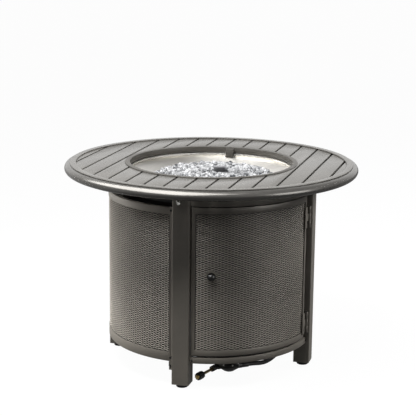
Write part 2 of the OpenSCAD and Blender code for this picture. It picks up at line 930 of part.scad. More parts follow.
module burner_pan() {
    slope_t = 1.2 * pan_t;
    color(steel)
        difference() {
            rotate_extrude($fn = 180)
                polygon([
                    [hub_r + seat, pan_floor_z],
                    [pan_floor_r, pan_floor_z],
                    [pan_wall_r + pan_t, pan_wall_z - slope_t / 2],
                    [pan_wall_r + pan_t, flange_z],
                    [pan_flange_r, flange_z],
                    [pan_flange_r, flange_z + pan_t],
                    [opening_r - pan_lip_w, flange_z + pan_t],
                    [opening_r - pan_lip_w, flange_z],
                    [pan_wall_r, flange_z],
                    [pan_wall_r, pan_wall_z],
                    [pan_floor_r - slope_t / 2, pan_floor_z + pan_t],
                    [hub_r + seat, pan_floor_z + pan_t]
                ]);
            translate([pilot_x, pilot_y, pan_floor_z - cut])
                cylinder(h = 3 * cut + pan_t, r = pilot_hole_r);
        }
}

// Bent strap that hangs from the collar at the back and keeps the pan from lifting
module pan_clip() {
    clip_w = 27;
    clip_t = 2.8;
    clip_z = flange_z - 11;
    clip_u1 = sqrt(pow(opening_r, 2) - pow(clip_w / 2, 2)) - seat / 4;
    clip_u0 = sqrt(pow(slope_r(clip_z), 2) - pow(clip_w / 2, 2)) - cut - clip_t;
    foot_z = plank_z1 - 2;
    color(bronze)
        union() {
            block(clip_a, clip_u0, clip_u0 + clip_t, -clip_w / 2, clip_w / 2, clip_z, foot_z);
            block(clip_a, clip_u0, clip_u1, -clip_w / 2, clip_w / 2, foot_z - clip_t, foot_z);
        }
}

// Tube ring with a cross tube and a hub through the pan's floor
module burner_ring() {
    color(steel)
        union() {
            rotate_extrude($fn = 96)
                translate([burner_r, burner_z])
                    circle(d = burner_tube_d);
            translate([-burner_r, 0, burner_z])
                rotate([0, 90, 0])
                    cylinder(h = 2 * burner_r, d = burner_tube_d - 4);
            translate([0, 0, mixer_z1])
                cylinder(h = hub_top_z - mixer_z1, r = hub_r);
        }
}

// Air mixer under the pan, with two windows
module gas_mixer() {
    window_d = 9;
    color(brass)
        difference() {
            union() {
                translate([0, 0, mixer_z0])
                    cylinder(h = mixer_h, r = mixer_r);
                translate([0, 0, mixer_z1 - 8])
                    cylinder(h = 8, r = hub_r + 3, $fn = 6);
            }
            translate([0, 0, mixer_z0 + 6])
                cylinder(h = mixer_h, r = mixer_r - 3);
            translate([-hub_r, 0, mixer_z0 + mixer_h / 2 - 2])
                rotate([0, 90, 0])
                    cylinder(h = 2 * hub_r, d = window_d);
        }
}

module gas_elbow() {
    boss_d = 16;
    color(brass)
        union() {
            block(control_a, -elbow_s / 2, elbow_s / 2, -elbow_s / 2, elbow_s / 2, elbow_z - elbow_s / 2,
                mixer_z0 - seat / 4);
            spike(control_a, 0, elbow_z, 0, elbow_reach, boss_d);
        }
}

// Height of the fire glass over its bed at radius r
function glass_top(r) = glass_edge_h + (glass_h - glass_edge_h) * (1 - pow(r / glass_r, 3.5));

// Bed of fire glass, hollow round the burner and the pilot's bracket
// The larger pieces of glass that stand out of the bed
module glass_lumps() {
    lump = 15;
    sink = 4;
    rounds = 3;
    lump_pitch = glass_r / 3.6;
    for (i = [1:rounds], k = [0:6 * i - 1])
        rotate([0, 0, 60 / i * k + 23 * i])
            translate([lump_pitch * i, 0, glass_z0 + glass_top(lump_pitch * i) - sink])
                rotate([31 * k + 17, 41 * i + 13 * k, 29 * k])
                    cube(lump, center = true);
}

module fire_glass() {
    steps = 8;
    foot_h = glass_edge_h * 0.7;
    crown = [for (i = [0:steps]) [glass_r * i / steps, glass_z0 + glass_top(glass_r * i / steps)]];
    room = burner_tube_d / 2 + air;
    roof_z = burner_z + room;
    color([0.82, 0.86, 0.88, 0.8])
        difference() {
            union() {
                rotate_extrude($fn = 120)
                    polygon(concat([[0, glass_z0]], crown, [
                        [slope_r(glass_z0 + foot_h) - 3, glass_z0 + foot_h],
                        [slope_r(glass_z0) - 3, glass_z0]
                    ]));
                glass_lumps();
            }
            ring(burner_r - room, burner_r + room, glass_z0 - cut, roof_z);
            translate([-burner_r, -room, glass_z0 - cut])
                cube([2 * burner_r, 2 * room, roof_z - glass_z0 + cut]);
            translate([0, 0, glass_z0 - cut])
                cylinder(h = roof_z - glass_z0 + cut, r = hub_r + 2);
            translate([pilot_x, pilot_y, glass_z0 - cut])
                rotate([0, 0, pilot_turn])
                    translate([-hood_w / 2 - 2, -hood_depth / 2 - 2, 0])
                        cube([hood_w + 4, hood_depth + 4, 2 * glass_h]);
        }
}

module at_pilot(z) {
    translate([pilot_x, pilot_y, z])
        rotate([0, 0, pilot_turn])
            children();
}

// Shelf on two feet beside the hole in the pan's floor
module pilot_bracket() {
    shelf_t = 2;
    foot_z = pan_floor_z + pan_t;
    color(steel)
        difference() {
            union() {
                at_pilot(pilot_z - shelf_t)
                    translate([-hood_w / 2, -hood_depth / 2, 0])
                        cube([hood_w, hood_depth, shelf_t]);
                for (s = [-1, 1])
                    at_pilot(foot_z)
                        translate([s * (pilot_hole_r + 3) - shelf_t / 2, -hood_depth / 4, 0])
                            cube([shelf_t, hood_depth / 2, pilot_z - foot_z - shelf_t / 2]);
            }
            at_pilot(pilot_z - 3 * cut - shelf_t)
                translate([-probe_off, 0, 0])
                    cylinder(h = 6 * cut + shelf_t, d = probe_d + 2 * seat);
            at_pilot(pilot_z - 3 * cut - shelf_t)
                translate([probe_off - 3, 0, 0])
                    cylinder(h = 6 * cut + shelf_t, d = 2 * spark_d + 2 * seat);
        }
}

// Hood of perforated sheet over the pilot flame
module pilot_hood() {
    sheet = 1;
    slots = 5;
    slot_w = hood_w / (2 * slots + 1);
    color([0.3, 0.3, 0.3])
        at_pilot(pilot_z)
            difference() {
                translate([-hood_w / 2, -hood_depth / 2, 0])
                    cube([hood_w, hood_depth, hood_h]);
                translate([-hood_w / 2 + sheet, -hood_depth / 2 + sheet, -cut])
                    cube([hood_w - 2 * sheet, hood_depth - 2 * sheet, hood_h - sheet + cut]);
                for (i = [0:slots - 1], z = [0.2, 0.58])
                    translate([-hood_w / 2 + slot_w * (2 * i + 1), -hood_depth, hood_h * z])
                        cube([slot_w, 2 * hood_depth, hood_h * 0.26]);
            }
}

module pilot_thermocouple() {
    color(steel)
        at_pilot(pilot_z)
            translate([-probe_off, 0, 0])
                union() {
                    translate([0, 0, -pilot_z + pan_floor_z + pan_t + seat])
                        cylinder(h = pilot_z - pan_floor_z + hood_h * 0.6, d = probe_d);
                    cylinder(h = 4, d = probe_d + 3);
                }
}

// Spark rod in a ceramic sleeve; its foot reaches through the pan's floor
module spark_electrode() {
    reach = pilot_z - spark_foot_z;
    color([0.9, 0.88, 0.84])
        at_pilot(spark_foot_z)
            translate([probe_off - 3, 0, 0])
                union() {
                    cylinder(h = reach + hood_h * 0.3, d = 2 * spark_d);
                    cylinder(h = reach + hood_h * 0.75, d = spark_d);
                }
}

// Controls

module control_plate() {
    color(black)
        difference() {
            block(control_a, drum_r - plate_w / 2, plate_face, -plate_w / 2, plate_w / 2, plate_z0, plate_z1);
            translate([0, 0, plate_z0 - cut])
                cylinder(h = plate_h + 2 * cut, r = drum_r + seat, $fn = 180);
            on_valve(drum_r - plate_w / 2, plate_face + cut, valve_neck_d + 2 * seat);
            on_igniter(drum_r - plate_w / 2, plate_face + cut, igniter_d + 2 * seat);
        }
}

module gas_valve() {
    color(brass)
        difference() {
            union() {
                block(control_a, valve_u0, valve_u0 + valve_l, valve_v - valve_w / 2, valve_v + valve_w / 2,
                    control_z - valve_h / 2, control_z + valve_h / 2);
                on_valve(valve_u0, plate_face + 3, valve_neck_d);
                rotate([0, 0, control_a])
                    translate([-control_off, -valve_inlet_u, valve_inlet_z])
                        cylinder(h = valve_h, d = valve_inlet_d);
            }
            on_valve(valve_u0 + 8, plate_face + 10, valve_stem_d + 2 * running);
        }
}

module valve_stem() {
    color(brass)
        on_valve(valve_u0 + 10 + valve_travel, valve_knob_u + valve_stem_l, valve_stem_d);
}

// Round knob with a grip bar across its face
module valve_knob() {
    base_h = valve_knob_h * 0.4;
    grip_w = valve_knob_d * 0.28;
    front_u = valve_knob_u + valve_knob_h;
    color(black)
        difference() {
            union() {
                on_valve(valve_knob_u, valve_knob_u + base_h, valve_knob_d);
                intersection() {
                    on_valve(valve_knob_u, front_u, valve_knob_d * 0.9);
                    block(control_a, valve_knob_u, front_u, valve_v - grip_w / 2, valve_v + grip_w / 2,
                        control_z - valve_knob_d, control_z + valve_knob_d);
                }
            }
            on_valve(valve_knob_u - cut, valve_knob_u + valve_stem_l + seat, valve_stem_d + 2 * running);
        }
}

module igniter_body() {
    color(black)
        difference() {
            union() {
                on_igniter(igniter_u0, plate_face + bezel_t, igniter_d);
                on_igniter(plate_face + seat / 2, plate_face + bezel_t, bezel_d);
            }
            on_igniter(plate_face - button_travel - 6, plate_face + 2 * bezel_t,
                button_d + 2 * running);
        }
}

module igniter_button() {
    color([0.5, 0.05, 0.04])
        on_igniter(plate_face - 4, plate_face + bezel_t + button_out, button_d);
}

// Bendy line from the valve to the mixer's elbow
module burner_gas_line() {
    color(steel)
        tube(line_route, 12, 10, [0, 0, 1]);
}

module spark_lead() {
    color(black)
        tube(spark_route, lead_d, 8, [1, -1, 0]);
}

// Gas supply

module gas_hose() {
    color(black)
        tube(hose_route, hose_d, 10, [1, 0, 0]);
}

module at_regulator() {
    translate([regulator_x, regulator_y, 0])
        children();
}

module hose_ferrules() {
    color(brass)
        union() {
            rotate([0, 0, control_a])
                translate([-control_off, -valve_inlet_u, valve_inlet_z - ferrule_l])
                    cylinder(h = ferrule_l, d = ferrule_d);
            at_regulator()
                rotate([0, 0, outlet_turn])
                    translate([outlet_l, 0, supply_z])
                        rotate([0, 90, 0])
                            cylinder(h = ferrule_l, d = ferrule_d);
        }
}

// Along the brass stem: x runs from the handwheel to the regulator's inlet
module along_stem(x) {
    translate([handwheel_x, handwheel_y, supply_z])
        rotate([0, 0, 90 + brass_turn])
            translate([x, 0, 0])
                rotate([0, 90, 0])
                    children();
}

module regulator_body() {
    r = regulator_d / 2;
    elbow_x = handwheel_x + inlet_elbow_at * cos(90 + brass_turn);
    elbow_y = handwheel_y + inlet_elbow_at * sin(90 + brass_turn);
    elbow_d = inlet_nut_d - 4;
    color([0.25, 0.25, 0.24])
        union() {
            at_regulator()
                rotate_extrude()
                    polygon([
                        [0, floor_gap],
                        [r * 0.4, floor_gap],
                        [r * 0.5, floor_gap + 1.5],
                        [r * 0.94, regulator_h * 0.38],
                        [r, regulator_h * 0.44],
                        [r, regulator_h * 0.58],
                        [r * 0.92, regulator_h * 0.66],
                        [r * 0.74, regulator_h * 0.87],
                        [r * 0.44, regulator_h * 0.91],
                        [r * 0.4, regulator_h],
                        [0, regulator_h]
                    ]);
            along_stem(inlet_nut_at)
                cylinder(h = inlet_nut_l, d = inlet_nut_d, $fn = 6);
            along_stem(inlet_nut_at)
                cylinder(h = inlet_elbow_at - inlet_nut_at, d = elbow_d);
            translate([elbow_x, elbow_y, supply_z - inlet_nut_d / 2])
                cylinder(h = inlet_nut_d, d = inlet_nut_d - 1);
            translate([elbow_x, elbow_y, supply_z])
                rotate([0, 90, atan2(regulator_y - elbow_y, regulator_x - elbow_x)])
                    cylinder(h = norm([regulator_x - elbow_x, regulator_y - elbow_y]), d = elbow_d);
            at_regulator()
                rotate([0, 0, outlet_turn])
                    translate([0, 0, supply_z])
                        rotate([0, 90, 0])
                            cylinder(h = outlet_l, d = inlet_nut_d - 2);
        }
}

module regulator_stem() {
    nose_l = 5;
    collar_l = 3;
    color(brass)
        union() {
            along_stem(-handwheel_l / 2 - nose_l)
                cylinder(h = inlet_nut_at + handwheel_l / 2 + nose_l, d = brass_d);
            along_stem(-handwheel_l / 2 - nose_l)
                cylinder(h = nose_l - air, d = brass_d + 4);
            along_stem(handwheel_l / 2 + air)
                cylinder(h = collar_l, d = brass_d + 6);
        }
}

// Fluted nut that turns on the stem
module regulator_handwheel() {
    flutes = 10;
    flute_d = 6;
    color(black)
        along_stem(-handwheel_l / 2)
            difference() {
                cylinder(h = handwheel_l, d = handwheel_d);
                translate([0, 0, -cut])
                    cylinder(h = handwheel_l + 2 * cut, d = brass_d + 2 * running);
                for (i = [0:flutes - 1])
                    rotate([0, 0, 360 * (i + 0.5) / flutes])
                        translate([handwheel_d / 2 + flute_d / 4, 0, -cut])
                            cylinder(h = handwheel_l + 2 * cut, d = flute_d);
            }
}

top_rim();
top_border();
top_planks();
top_collar();
top_spokes();
support_ring();
leg(0);  // leg_front
leg(90);  // leg_right
leg(180);  // leg_back
leg(270);  // leg_left
leg_plugs();
foot(0);  // foot_front
foot(90);  // foot_right
foot(180);  // foot_back
foot(270);  // foot_left
wing_screws();
panel_brackets();
panel_screws();
fixed_frame(270);  // panel_frame_front_left
fixed_mesh(270);  // panel_mesh_front_left
fixed_frame(180);  // panel_frame_back_left
fixed_mesh(180);  // panel_mesh_back_left
fixed_frame(90);  // panel_frame_back_right
control_mesh();  // panel_mesh_back_right
door_header();
door_sill();
door_stop();
door_frame();
door_mesh();
door_knob();
knob_rose();
knob_screw();
hinge_door_leaves();
hinge_leg_leaves();
hinge_pins();
catch_magnet();
catch_strike();
burner_pan();
pan_clip();
burner_ring();
gas_mixer();
gas_elbow();
fire_glass();
pilot_bracket();
pilot_hood();
pilot_thermocouple();
spark_electrode();
control_plate();
gas_valve();
valve_stem();
valve_knob();
igniter_body();
igniter_button();
burner_gas_line();
spark_lead();
gas_hose();
hose_ferrules();
regulator_body();
regulator_stem();
regulator_handwheel();
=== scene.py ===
import json
import math
import random

import bmesh
import bpy
from mathutils import Matrix, Vector

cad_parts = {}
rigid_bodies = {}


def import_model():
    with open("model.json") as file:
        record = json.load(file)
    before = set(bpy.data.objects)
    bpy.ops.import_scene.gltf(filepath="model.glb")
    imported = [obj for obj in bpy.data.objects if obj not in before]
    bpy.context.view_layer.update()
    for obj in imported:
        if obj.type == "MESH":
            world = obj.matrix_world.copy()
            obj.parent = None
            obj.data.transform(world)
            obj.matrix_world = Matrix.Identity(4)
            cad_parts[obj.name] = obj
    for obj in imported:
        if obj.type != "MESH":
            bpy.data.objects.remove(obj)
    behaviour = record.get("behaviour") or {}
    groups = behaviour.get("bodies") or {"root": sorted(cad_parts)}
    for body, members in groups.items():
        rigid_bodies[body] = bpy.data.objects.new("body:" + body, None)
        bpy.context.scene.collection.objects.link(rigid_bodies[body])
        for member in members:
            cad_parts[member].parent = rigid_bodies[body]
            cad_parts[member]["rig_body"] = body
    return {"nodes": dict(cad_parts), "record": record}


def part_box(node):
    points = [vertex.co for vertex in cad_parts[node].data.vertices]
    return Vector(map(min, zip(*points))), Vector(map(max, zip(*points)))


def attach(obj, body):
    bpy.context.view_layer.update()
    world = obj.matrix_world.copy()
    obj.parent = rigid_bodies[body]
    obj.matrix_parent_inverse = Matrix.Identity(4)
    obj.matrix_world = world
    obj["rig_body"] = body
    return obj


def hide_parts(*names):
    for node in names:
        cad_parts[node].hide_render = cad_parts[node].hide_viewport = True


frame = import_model()

bl_info = {
    "name": "Round fire table",
    "version": (1, 0, 0),
    "blender": (4, 5, 0),
    "location": "View3D > Sidebar > Fire table",
    "description": "Dresses the packed solids of a round gas fire table",
    "category": "Object",
}

NODES = frame["nodes"]
SLOT_OF = {part["node"]: part["material_slot"] for part in frame["record"]["subparts"]}
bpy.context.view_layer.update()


# Settings that a user would change

class FireTableSizes(bpy.types.PropertyGroup):
    cell_width: bpy.props.FloatProperty(
        name="Cell width", description="Width of a diamond of the expanded mesh",
        default=0.0195, unit="LENGTH")
    cell_height: bpy.props.FloatProperty(
        name="Cell height", description="Height of a diamond of the expanded mesh",
        default=0.0070, unit="LENGTH")
    strand_width: bpy.props.FloatProperty(
        name="Strand width", description="Width of a strand of the expanded mesh",
        default=0.0015, unit="LENGTH")
    strand_depth: bpy.props.FloatProperty(
        name="Strand depth", description="How far the lower edge of a strand stands out",
        default=0.0006, unit="LENGTH")
    strand_thickness: bpy.props.FloatProperty(
        name="Strand thickness", description="Thickness of the sheet that the mesh is cut from",
        default=0.0009, unit="LENGTH")
    hood_wire: bpy.props.FloatProperty(
        name="Hood wire", description="Thickness of the wire of the pilot hood",
        default=0.0011, unit="LENGTH")
    plank_edge: bpy.props.FloatProperty(
        name="Plank edge", description="Rounding of the edges of the planks",
        default=0.0012, unit="LENGTH")
    sheet_edge: bpy.props.FloatProperty(
        name="Sheet edge", description="Rounding of the edges of frames and sheet parts",
        default=0.0007, unit="LENGTH")
    nugget: bpy.props.FloatProperty(
        name="Glass nugget", description="Middle size of a nugget of fire glass",
        default=0.0135, unit="LENGTH")
    nugget_seed: bpy.props.IntProperty(
        name="Glass seed", description="Seed of the scatter of the fire glass", default=11)
    hose_diameter: bpy.props.FloatProperty(
        name="Hose diameter", description="Outside diameter of the gas hose",
        default=0.014, unit="LENGTH")


class FireTableFinishes(bpy.types.PropertyGroup):
    bronze: bpy.props.FloatVectorProperty(
        name="Bronze paint", description="Paint of the legs and the drum",
        default=(0.180, 0.165, 0.142), size=3, subtype="COLOR", min=0.0, max=1.0)
    top: bpy.props.FloatVectorProperty(
        name="Top paint", description="Paint of the planks, the border and the collar",
        default=(0.110, 0.104, 0.094), size=3, subtype="COLOR", min=0.0, max=1.0)
    rim: bpy.props.FloatVectorProperty(
        name="Rim paint", description="Paint of the bullnose rim",
        default=(0.148, 0.142, 0.132), size=3, subtype="COLOR", min=0.0, max=1.0)
    steel: bpy.props.FloatVectorProperty(
        name="Stainless steel", description="Sheet of the burner pan and the burner",
        default=(0.80, 0.78, 0.74), size=3, subtype="COLOR", min=0.0, max=1.0)
    zinc: bpy.props.FloatVectorProperty(
        name="Zinc", description="Plated screws and pins",
        default=(0.78, 0.77, 0.73), size=3, subtype="COLOR", min=0.0, max=1.0)
    brass: bpy.props.FloatVectorProperty(
        name="Brass", description="Stem and ferrules of the gas supply",
        default=(0.71, 0.52, 0.21), size=3, subtype="COLOR", min=0.0, max=1.0)
    glass_light: bpy.props.FloatVectorProperty(
        name="Light glass", description="Palest nuggets of the fire glass",
        default=(0.67, 0.675, 0.685), size=3, subtype="COLOR", min=0.0, max=1.0)
    glass_dark: bpy.props.FloatVectorProperty(
        name="Dark glass", description="Darkest nuggets of the fire glass",
        default=(0.07, 0.075, 0.085), size=3, subtype="COLOR", min=0.0, max=1.0)
    rubber: bpy.props.FloatVectorProperty(
        name="Hose rubber", description="Cover of the gas hose",
        default=(0.018, 0.017, 0.016), size=3, subtype="COLOR", min=0.0, max=1.0)


class FireTableStudio(bpy.types.PropertyGroup):
    camera_place: bpy.props.FloatVectorProperty(
        name="Camera", description="Place of the camera",
        default=(1.03010, -3.77836, 1.37692), size=3, subtype="TRANSLATION", unit="LENGTH")
    camera_turn: bpy.props.FloatVectorProperty(
        name="Camera turn", description="Turn of the camera",
        default=(1.346384, -0.010529, 0.270866), size=3, subtype="EULER")
    camera_lens: bpy.props.FloatProperty(
        name="Lens", description="Focal length in millimetres", default=110.38)
    ambient: bpy.props.FloatProperty(
        name="Ambient", description="Strength of the even light of the room", default=0.03)
    key_power: bpy.props.FloatProperty(
        name="Key light", description="Power of the soft box overhead", default=155.0, unit="POWER")
    key_sheen: bpy.props.FloatProperty(
        name="Key sheen", description="Power of the wide screen on the left that shows in gloss",
        default=220.0, unit="POWER")
    side_power: bpy.props.FloatProperty(
        name="Side light", description="Power of the low soft box on the left", default=45.0, unit="POWER")
    fill_power: bpy.props.FloatProperty(
        name="Fill light", description="Power of the soft box on the right", default=10.0, unit="POWER")
    fill_sheen: bpy.props.FloatProperty(
        name="Fill sheen", description="Power of the screen on the right that shows in gloss",
        default=26.0, unit="POWER")
    back_power: bpy.props.FloatProperty(
        name="Back light", description="Power of the soft box at the back right", default=80.0, unit="POWER")


# Modelling helpers

# Size of a plane that is merged to a point, and the distance at which two points are one
POINT = 0.001
SAME = 1e-6


def choose(*objects):
    """Selects these objects alone, and makes the first one active."""
    if bpy.context.mode != "OBJECT":
        bpy.ops.object.mode_set(mode="OBJECT")
    bpy.ops.object.select_all(action="DESELECT")
    for item in objects:
        item.select_set(True)
    bpy.context.view_layer.objects.active = objects[0]


def begin_edit(piece):
    """Opens a piece in edit mode with all of it selected."""
    choose(piece)
    bpy.ops.object.mode_set(mode="EDIT")
    bpy.ops.mesh.select_all(action="SELECT")


def end_edit():
    bpy.ops.object.mode_set(mode="OBJECT")


def started(name, add_primitive, size):
    """New piece from a primitive, open in edit mode."""
    bpy.ops.object.select_all(action="DESELECT")
    add_primitive(size=size)
    piece = bpy.context.active_object
    piece.name = name
    begin_edit(piece)
    return piece


def apply_modifier(piece, kind, **values):
    modifier = piece.modifiers.new(kind.title(), kind)
    for key, value in values.items():
        setattr(modifier, key, value)
    choose(piece)
    bpy.ops.object.modifier_apply(modifier=modifier.name)


def smooth(piece, angle=35):
    """Smooth shading, with edges sharper than the angle in degrees kept."""
    choose(piece)
    bpy.ops.object.shade_smooth_by_angle(angle=math.radians(angle))


def wear(piece, material, body, nodes=()):
    """Gives a piece its finish, its body and the nodes that it stands for."""
    piece.data.materials.clear()
    piece.data.materials.append(material)
    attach(piece, body)
    if nodes:
        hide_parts(*nodes)


def stand_for(piece, node, material=None):
    """Puts a piece in the place of a CAD node, with the node's body and slot."""
    wear(piece, material or finish_of(node), NODES[node]["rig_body"], [node])


def turned(name, outline, steps=48, closed=True):
    """Body of revolution about Z: a point is extruded along the outline of (radius, height) and spun."""
    piece = started(name, bpy.ops.mesh.primitive_plane_add, POINT)
    bpy.ops.mesh.merge(type="CENTER")
    bpy.ops.transform.translate(value=(outline[0][0], 0, outline[0][1]))
    ends = outline[1:] + outline[:1] if closed else outline[1:]
    for (r0, z0), (r1, z1) in zip(outline, ends):
        bpy.ops.mesh.extrude_region_move(TRANSFORM_OT_translate={"value": (r1 - r0, 0, z1 - z0)})
    bpy.ops.mesh.select_all(action="SELECT")
    bpy.ops.mesh.remove_doubles(threshold=SAME)
    bpy.ops.mesh.select_all(action="SELECT")
    bpy.ops.mesh.spin(steps=steps, angle=2 * math.pi, center=(0, 0, 0), axis=(0, 0, 1))
    bpy.ops.mesh.select_all(action="SELECT")
    bpy.ops.mesh.remove_doubles(threshold=SAME)
    bpy.ops.mesh.normals_make_consistent(inside=False)
    end_edit()
    return piece


def copy_of(node, name):
    """Copy of a CAD node's mesh as one closed surface of plain faces."""
    piece = bpy.data.objects.new(name, NODES[node].data.copy())
    bpy.context.scene.collection.objects.link(piece)
    begin_edit(piece)
    bpy.ops.mesh.customdata_custom_splitnormals_clear()
    bpy.ops.mesh.remove_doubles(threshold=2e-6)
    bpy.ops.mesh.dissolve_limited(angle_limit=math.radians(0.4))
    end_edit()
    return piece


def eased(node, width, segments=2, material=None):
    """Stands for a CAD node with its sharp edges eased."""
    piece = copy_of(node, node + "_eased")
    apply_modifier(piece, "BEVEL", width=width, segments=segments, limit_method="ANGLE",
                   angle_limit=math.radians(30), use_clamp_overlap=True)
    smooth(piece)
    stand_for(piece, node, material)


def outward(turn, side, reach, height):
    """Place on the drum: X runs sideways, Y up and Z out, at a turn in degrees from the front."""
    return (Matrix.Rotation(math.radians(turn), 4, "Z") @ Matrix.Translation((side, -reach, height))
            @ Matrix.Rotation(math.pi / 2, 4, "X"))


def bar(name, size, edge):
    """Bar with rounded edges, centred on the origin."""
    piece = started(name, bpy.ops.mesh.primitive_cube_add, 1.0)
    bpy.ops.transform.resize(value=size)
    bpy.ops.mesh.bevel(offset=edge, segments=3, affect="EDGES")
    end_edit()
    return piece


def joined(name, pieces):
    """Joins pieces into the first of them."""
    choose(*pieces)
    bpy.ops.object.join()
    pieces[0].name = name
    return pieces[0]


def twin(piece, place):
    """Copy of a piece with its own mesh, put in place."""
    item = bpy.data.objects.new(piece.name, piece.data.copy())
    item.data.transform(place)
    bpy.context.scene.collection.objects.link(item)
    return item


def line_along(name, points, radius, resolution):
    """Round curve along points."""
    data = bpy.data.curves.new(name, "CURVE")
    data.dimensions = "3D"
    data.bevel_depth = radius
    data.bevel_resolution = resolution
    data.use_fill_caps = True
    spline = data.splines.new("POLY")
    spline.points.add(len(points) - 1)
    for point, place in zip(spline.points, points):
        point.co = (*place, 1.0)
    piece = bpy.data.objects.new(name, data)
    bpy.context.scene.collection.objects.link(piece)
    return piece


def tube(name, points, radius, waist=1.0):
    """Round tube along points; with a waist below 1 it is corrugated."""
    piece = line_along(name, points, radius, 3)
    for point in list(piece.data.splines[0].points)[1::2]:
        point.radius = waist
    choose(piece)
    bpy.ops.object.convert(target="MESH")
    piece = bpy.context.active_object
    smooth(piece, 60)
    return piece


def paint_node(node, material):
    """A CAD node that keeps its own shape gets its finish."""
    NODES[node].data.materials.clear()
    NODES[node].data.materials.append(material)


# Finishes

def fill(tree, node, values):
    """Gives each input, by name or number, a constant, or a link from an output."""
    for key, value in values.items():
        if isinstance(value, bpy.types.NodeSocket):
            tree.links.new(value, node.inputs[key])
        else:
            node.inputs[key].default_value = value


def add_node(tree, kind, values, **settings):
    node = tree.nodes.new(kind)
    for key, value in settings.items():
        setattr(node, key, value)
    fill(tree, node, values)
    return node


def node_group(name, inputs, outputs):
    """Group that takes a place and values with defaults, and gives numbers."""
    group = bpy.data.node_groups.new(name, "ShaderNodeTree")
    group.interface.new_socket("Vector", in_out="INPUT", socket_type="NodeSocketVector")
    for label, default in inputs.items():
        socket = group.interface.new_socket(label, in_out="INPUT", socket_type="NodeSocketFloat")
        socket.default_value = default
    for label in outputs:
        group.interface.new_socket(label, in_out="OUTPUT", socket_type="NodeSocketFloat")
    return group, group.nodes.new("NodeGroupInput"), group.nodes.new("NodeGroupOutput")


def paint_grain_group():
    """Fine orange peel of baked paint, and slow clouds in its tone."""
    group, entry, leave = node_group("Paint grain", {"Grain": 700.0, "Cloud": 9.0}, ("Height", "Tone", "Smudge"))
    place = entry.outputs["Vector"]
    peel = add_node(group, "ShaderNodeTexNoise", {
        "Vector": place, "Scale": entry.outputs["Grain"], "Detail": 2.0})
    cloud = add_node(group, "ShaderNodeTexNoise", {
        "Vector": place, "Scale": entry.outputs["Cloud"], "Detail": 4.0})
    spread = add_node(group, "ShaderNodeMapRange", {
        "Value": cloud.outputs["Fac"], "From Min": 0.3, "From Max": 0.7})
    smudge = add_node(group, "ShaderNodeTexNoise", {"Vector": place, "Scale": 38.0, "Detail": 5.0})
    fill(group, leave, {"Height": peel.outputs["Fac"], "Tone": spread.outputs["Result"],
                        "Smudge": smudge.outputs["Fac"]})
    return group


def spun_lines_group():
    """Lines that run round the centre of a turned or spun sheet."""
    group, entry, leave = node_group("Spun lines", {"Lines": 900.0}, ("Height", "Tone", "Streak"))
    place = entry.outputs["Vector"]
    parts = add_node(group, "ShaderNodeSeparateXYZ", {"Vector": place})
    flat = add_node(group, "ShaderNodeCombineXYZ", {"X": parts.outputs["X"], "Y": parts.outputs["Y"]})
    radius = add_node(group, "ShaderNodeVectorMath", {0: flat.outputs["Vector"]}, operation="LENGTH")
    across = add_node(group, "ShaderNodeCombineXYZ", {"X": radius.outputs["Value"], "Z": parts.outputs["Z"]})
    lines = add_node(group, "ShaderNodeTexNoise", {
        "Vector": across.outputs["Vector"], "Scale": entry.outputs["Lines"], "Detail": 3.0})
    streak = add_node(group, "ShaderNodeTexNoise", {"Vector": place, "Scale": 14.0, "Detail": 5.0})
    tone = add_node(group, "ShaderNodeMapRange", {
        "Value": lines.outputs["Fac"], "From Min": 0.25, "From Max": 0.75})
    fill(group, leave, {"Height": lines.outputs["Fac"], "Tone": tone.outputs["Result"],
                        "Streak": streak.outputs["Fac"]})
    return group


class Finish:
    """A material under way: its node tree, its shader and the object coordinates."""

    def __init__(self, name):
        self.material = bpy.data.materials.new(name)
        self.material.use_nodes = True
        self.tree = self.material.node_tree
        self.shader = self.tree.nodes["Principled BSDF"]
        self.place = self.add("ShaderNodeTexCoord", {}).outputs["Object"]

    def add(self, kind, values, **settings):
        return add_node(self.tree, kind, values, **settings)

    def put(self, values):
        fill(self.tree, self.shader, values)

    def group(self, group, **values):
        return self.add("ShaderNodeGroup", {"Vector": self.place, **values}, node_tree=group)

    def blend(self, mask, low, high, socket="Base Color"):
        """Colour or value between low and high by a mask."""
        if isinstance(low, float):
            node = self.add("ShaderNodeMapRange", {"Value": mask, "To Min": low, "To Max": high})
        else:
            node = self.add("ShaderNodeMix", {"Factor": mask, "A": (*low, 1.0), "B": (*high, 1.0)},
                            data_type="RGBA")
        self.put({socket: node.outputs["Result"]})

    def bump(self, height, strength, distance):
        node = self.add("ShaderNodeBump", {"Height": height, "Strength": strength, "Distance": distance})
        self.put({"Normal": node.outputs["Normal"]})


def tinted(colour, factor):
    """A colour made lighter or darker."""
    return tuple(min(1.0, channel * factor) for channel in colour)


def painted(name, grain, colour, rough, metallic=0.0, relief=0.12, spread=0.1, fleck=700.0, specular=0.5,
            smudge=0.06):
    """Baked paint: clouds in tone and gloss, and a fine orange peel."""
    finish = Finish(name)
    node = finish.group(grain, Grain=fleck)
    finish.blend(node.outputs["Tone"], tinted(colour, 1 - spread), tinted(colour, 1 + spread))
    finish.blend(node.outputs["Smudge"], rough - smudge, rough + smudge, "Roughness")
    finish.bump(node.outputs["Height"], relief, 0.0004)
    finish.put({"Metallic": metallic, "Specular IOR Level": specular})
    return finish.material


def bright_metal(name, lines, colour, rough, lines_scale=900.0, relief=0.1, spread=0.06):
    """Bare or plated metal with the lines of its tool."""
    finish = Finish(name)
    node = finish.group(lines, Lines=lines_scale)
    finish.blend(node.outputs["Tone"], tinted(colour, 1 - spread), tinted(colour, 1 + spread))
    finish.blend(node.outputs["Streak"], max(0.05, rough - 0.1), rough + 0.1, "Roughness")
    finish.bump(node.outputs["Height"], relief, 0.0002)
    finish.put({"Metallic": 1.0})
    return finish.material


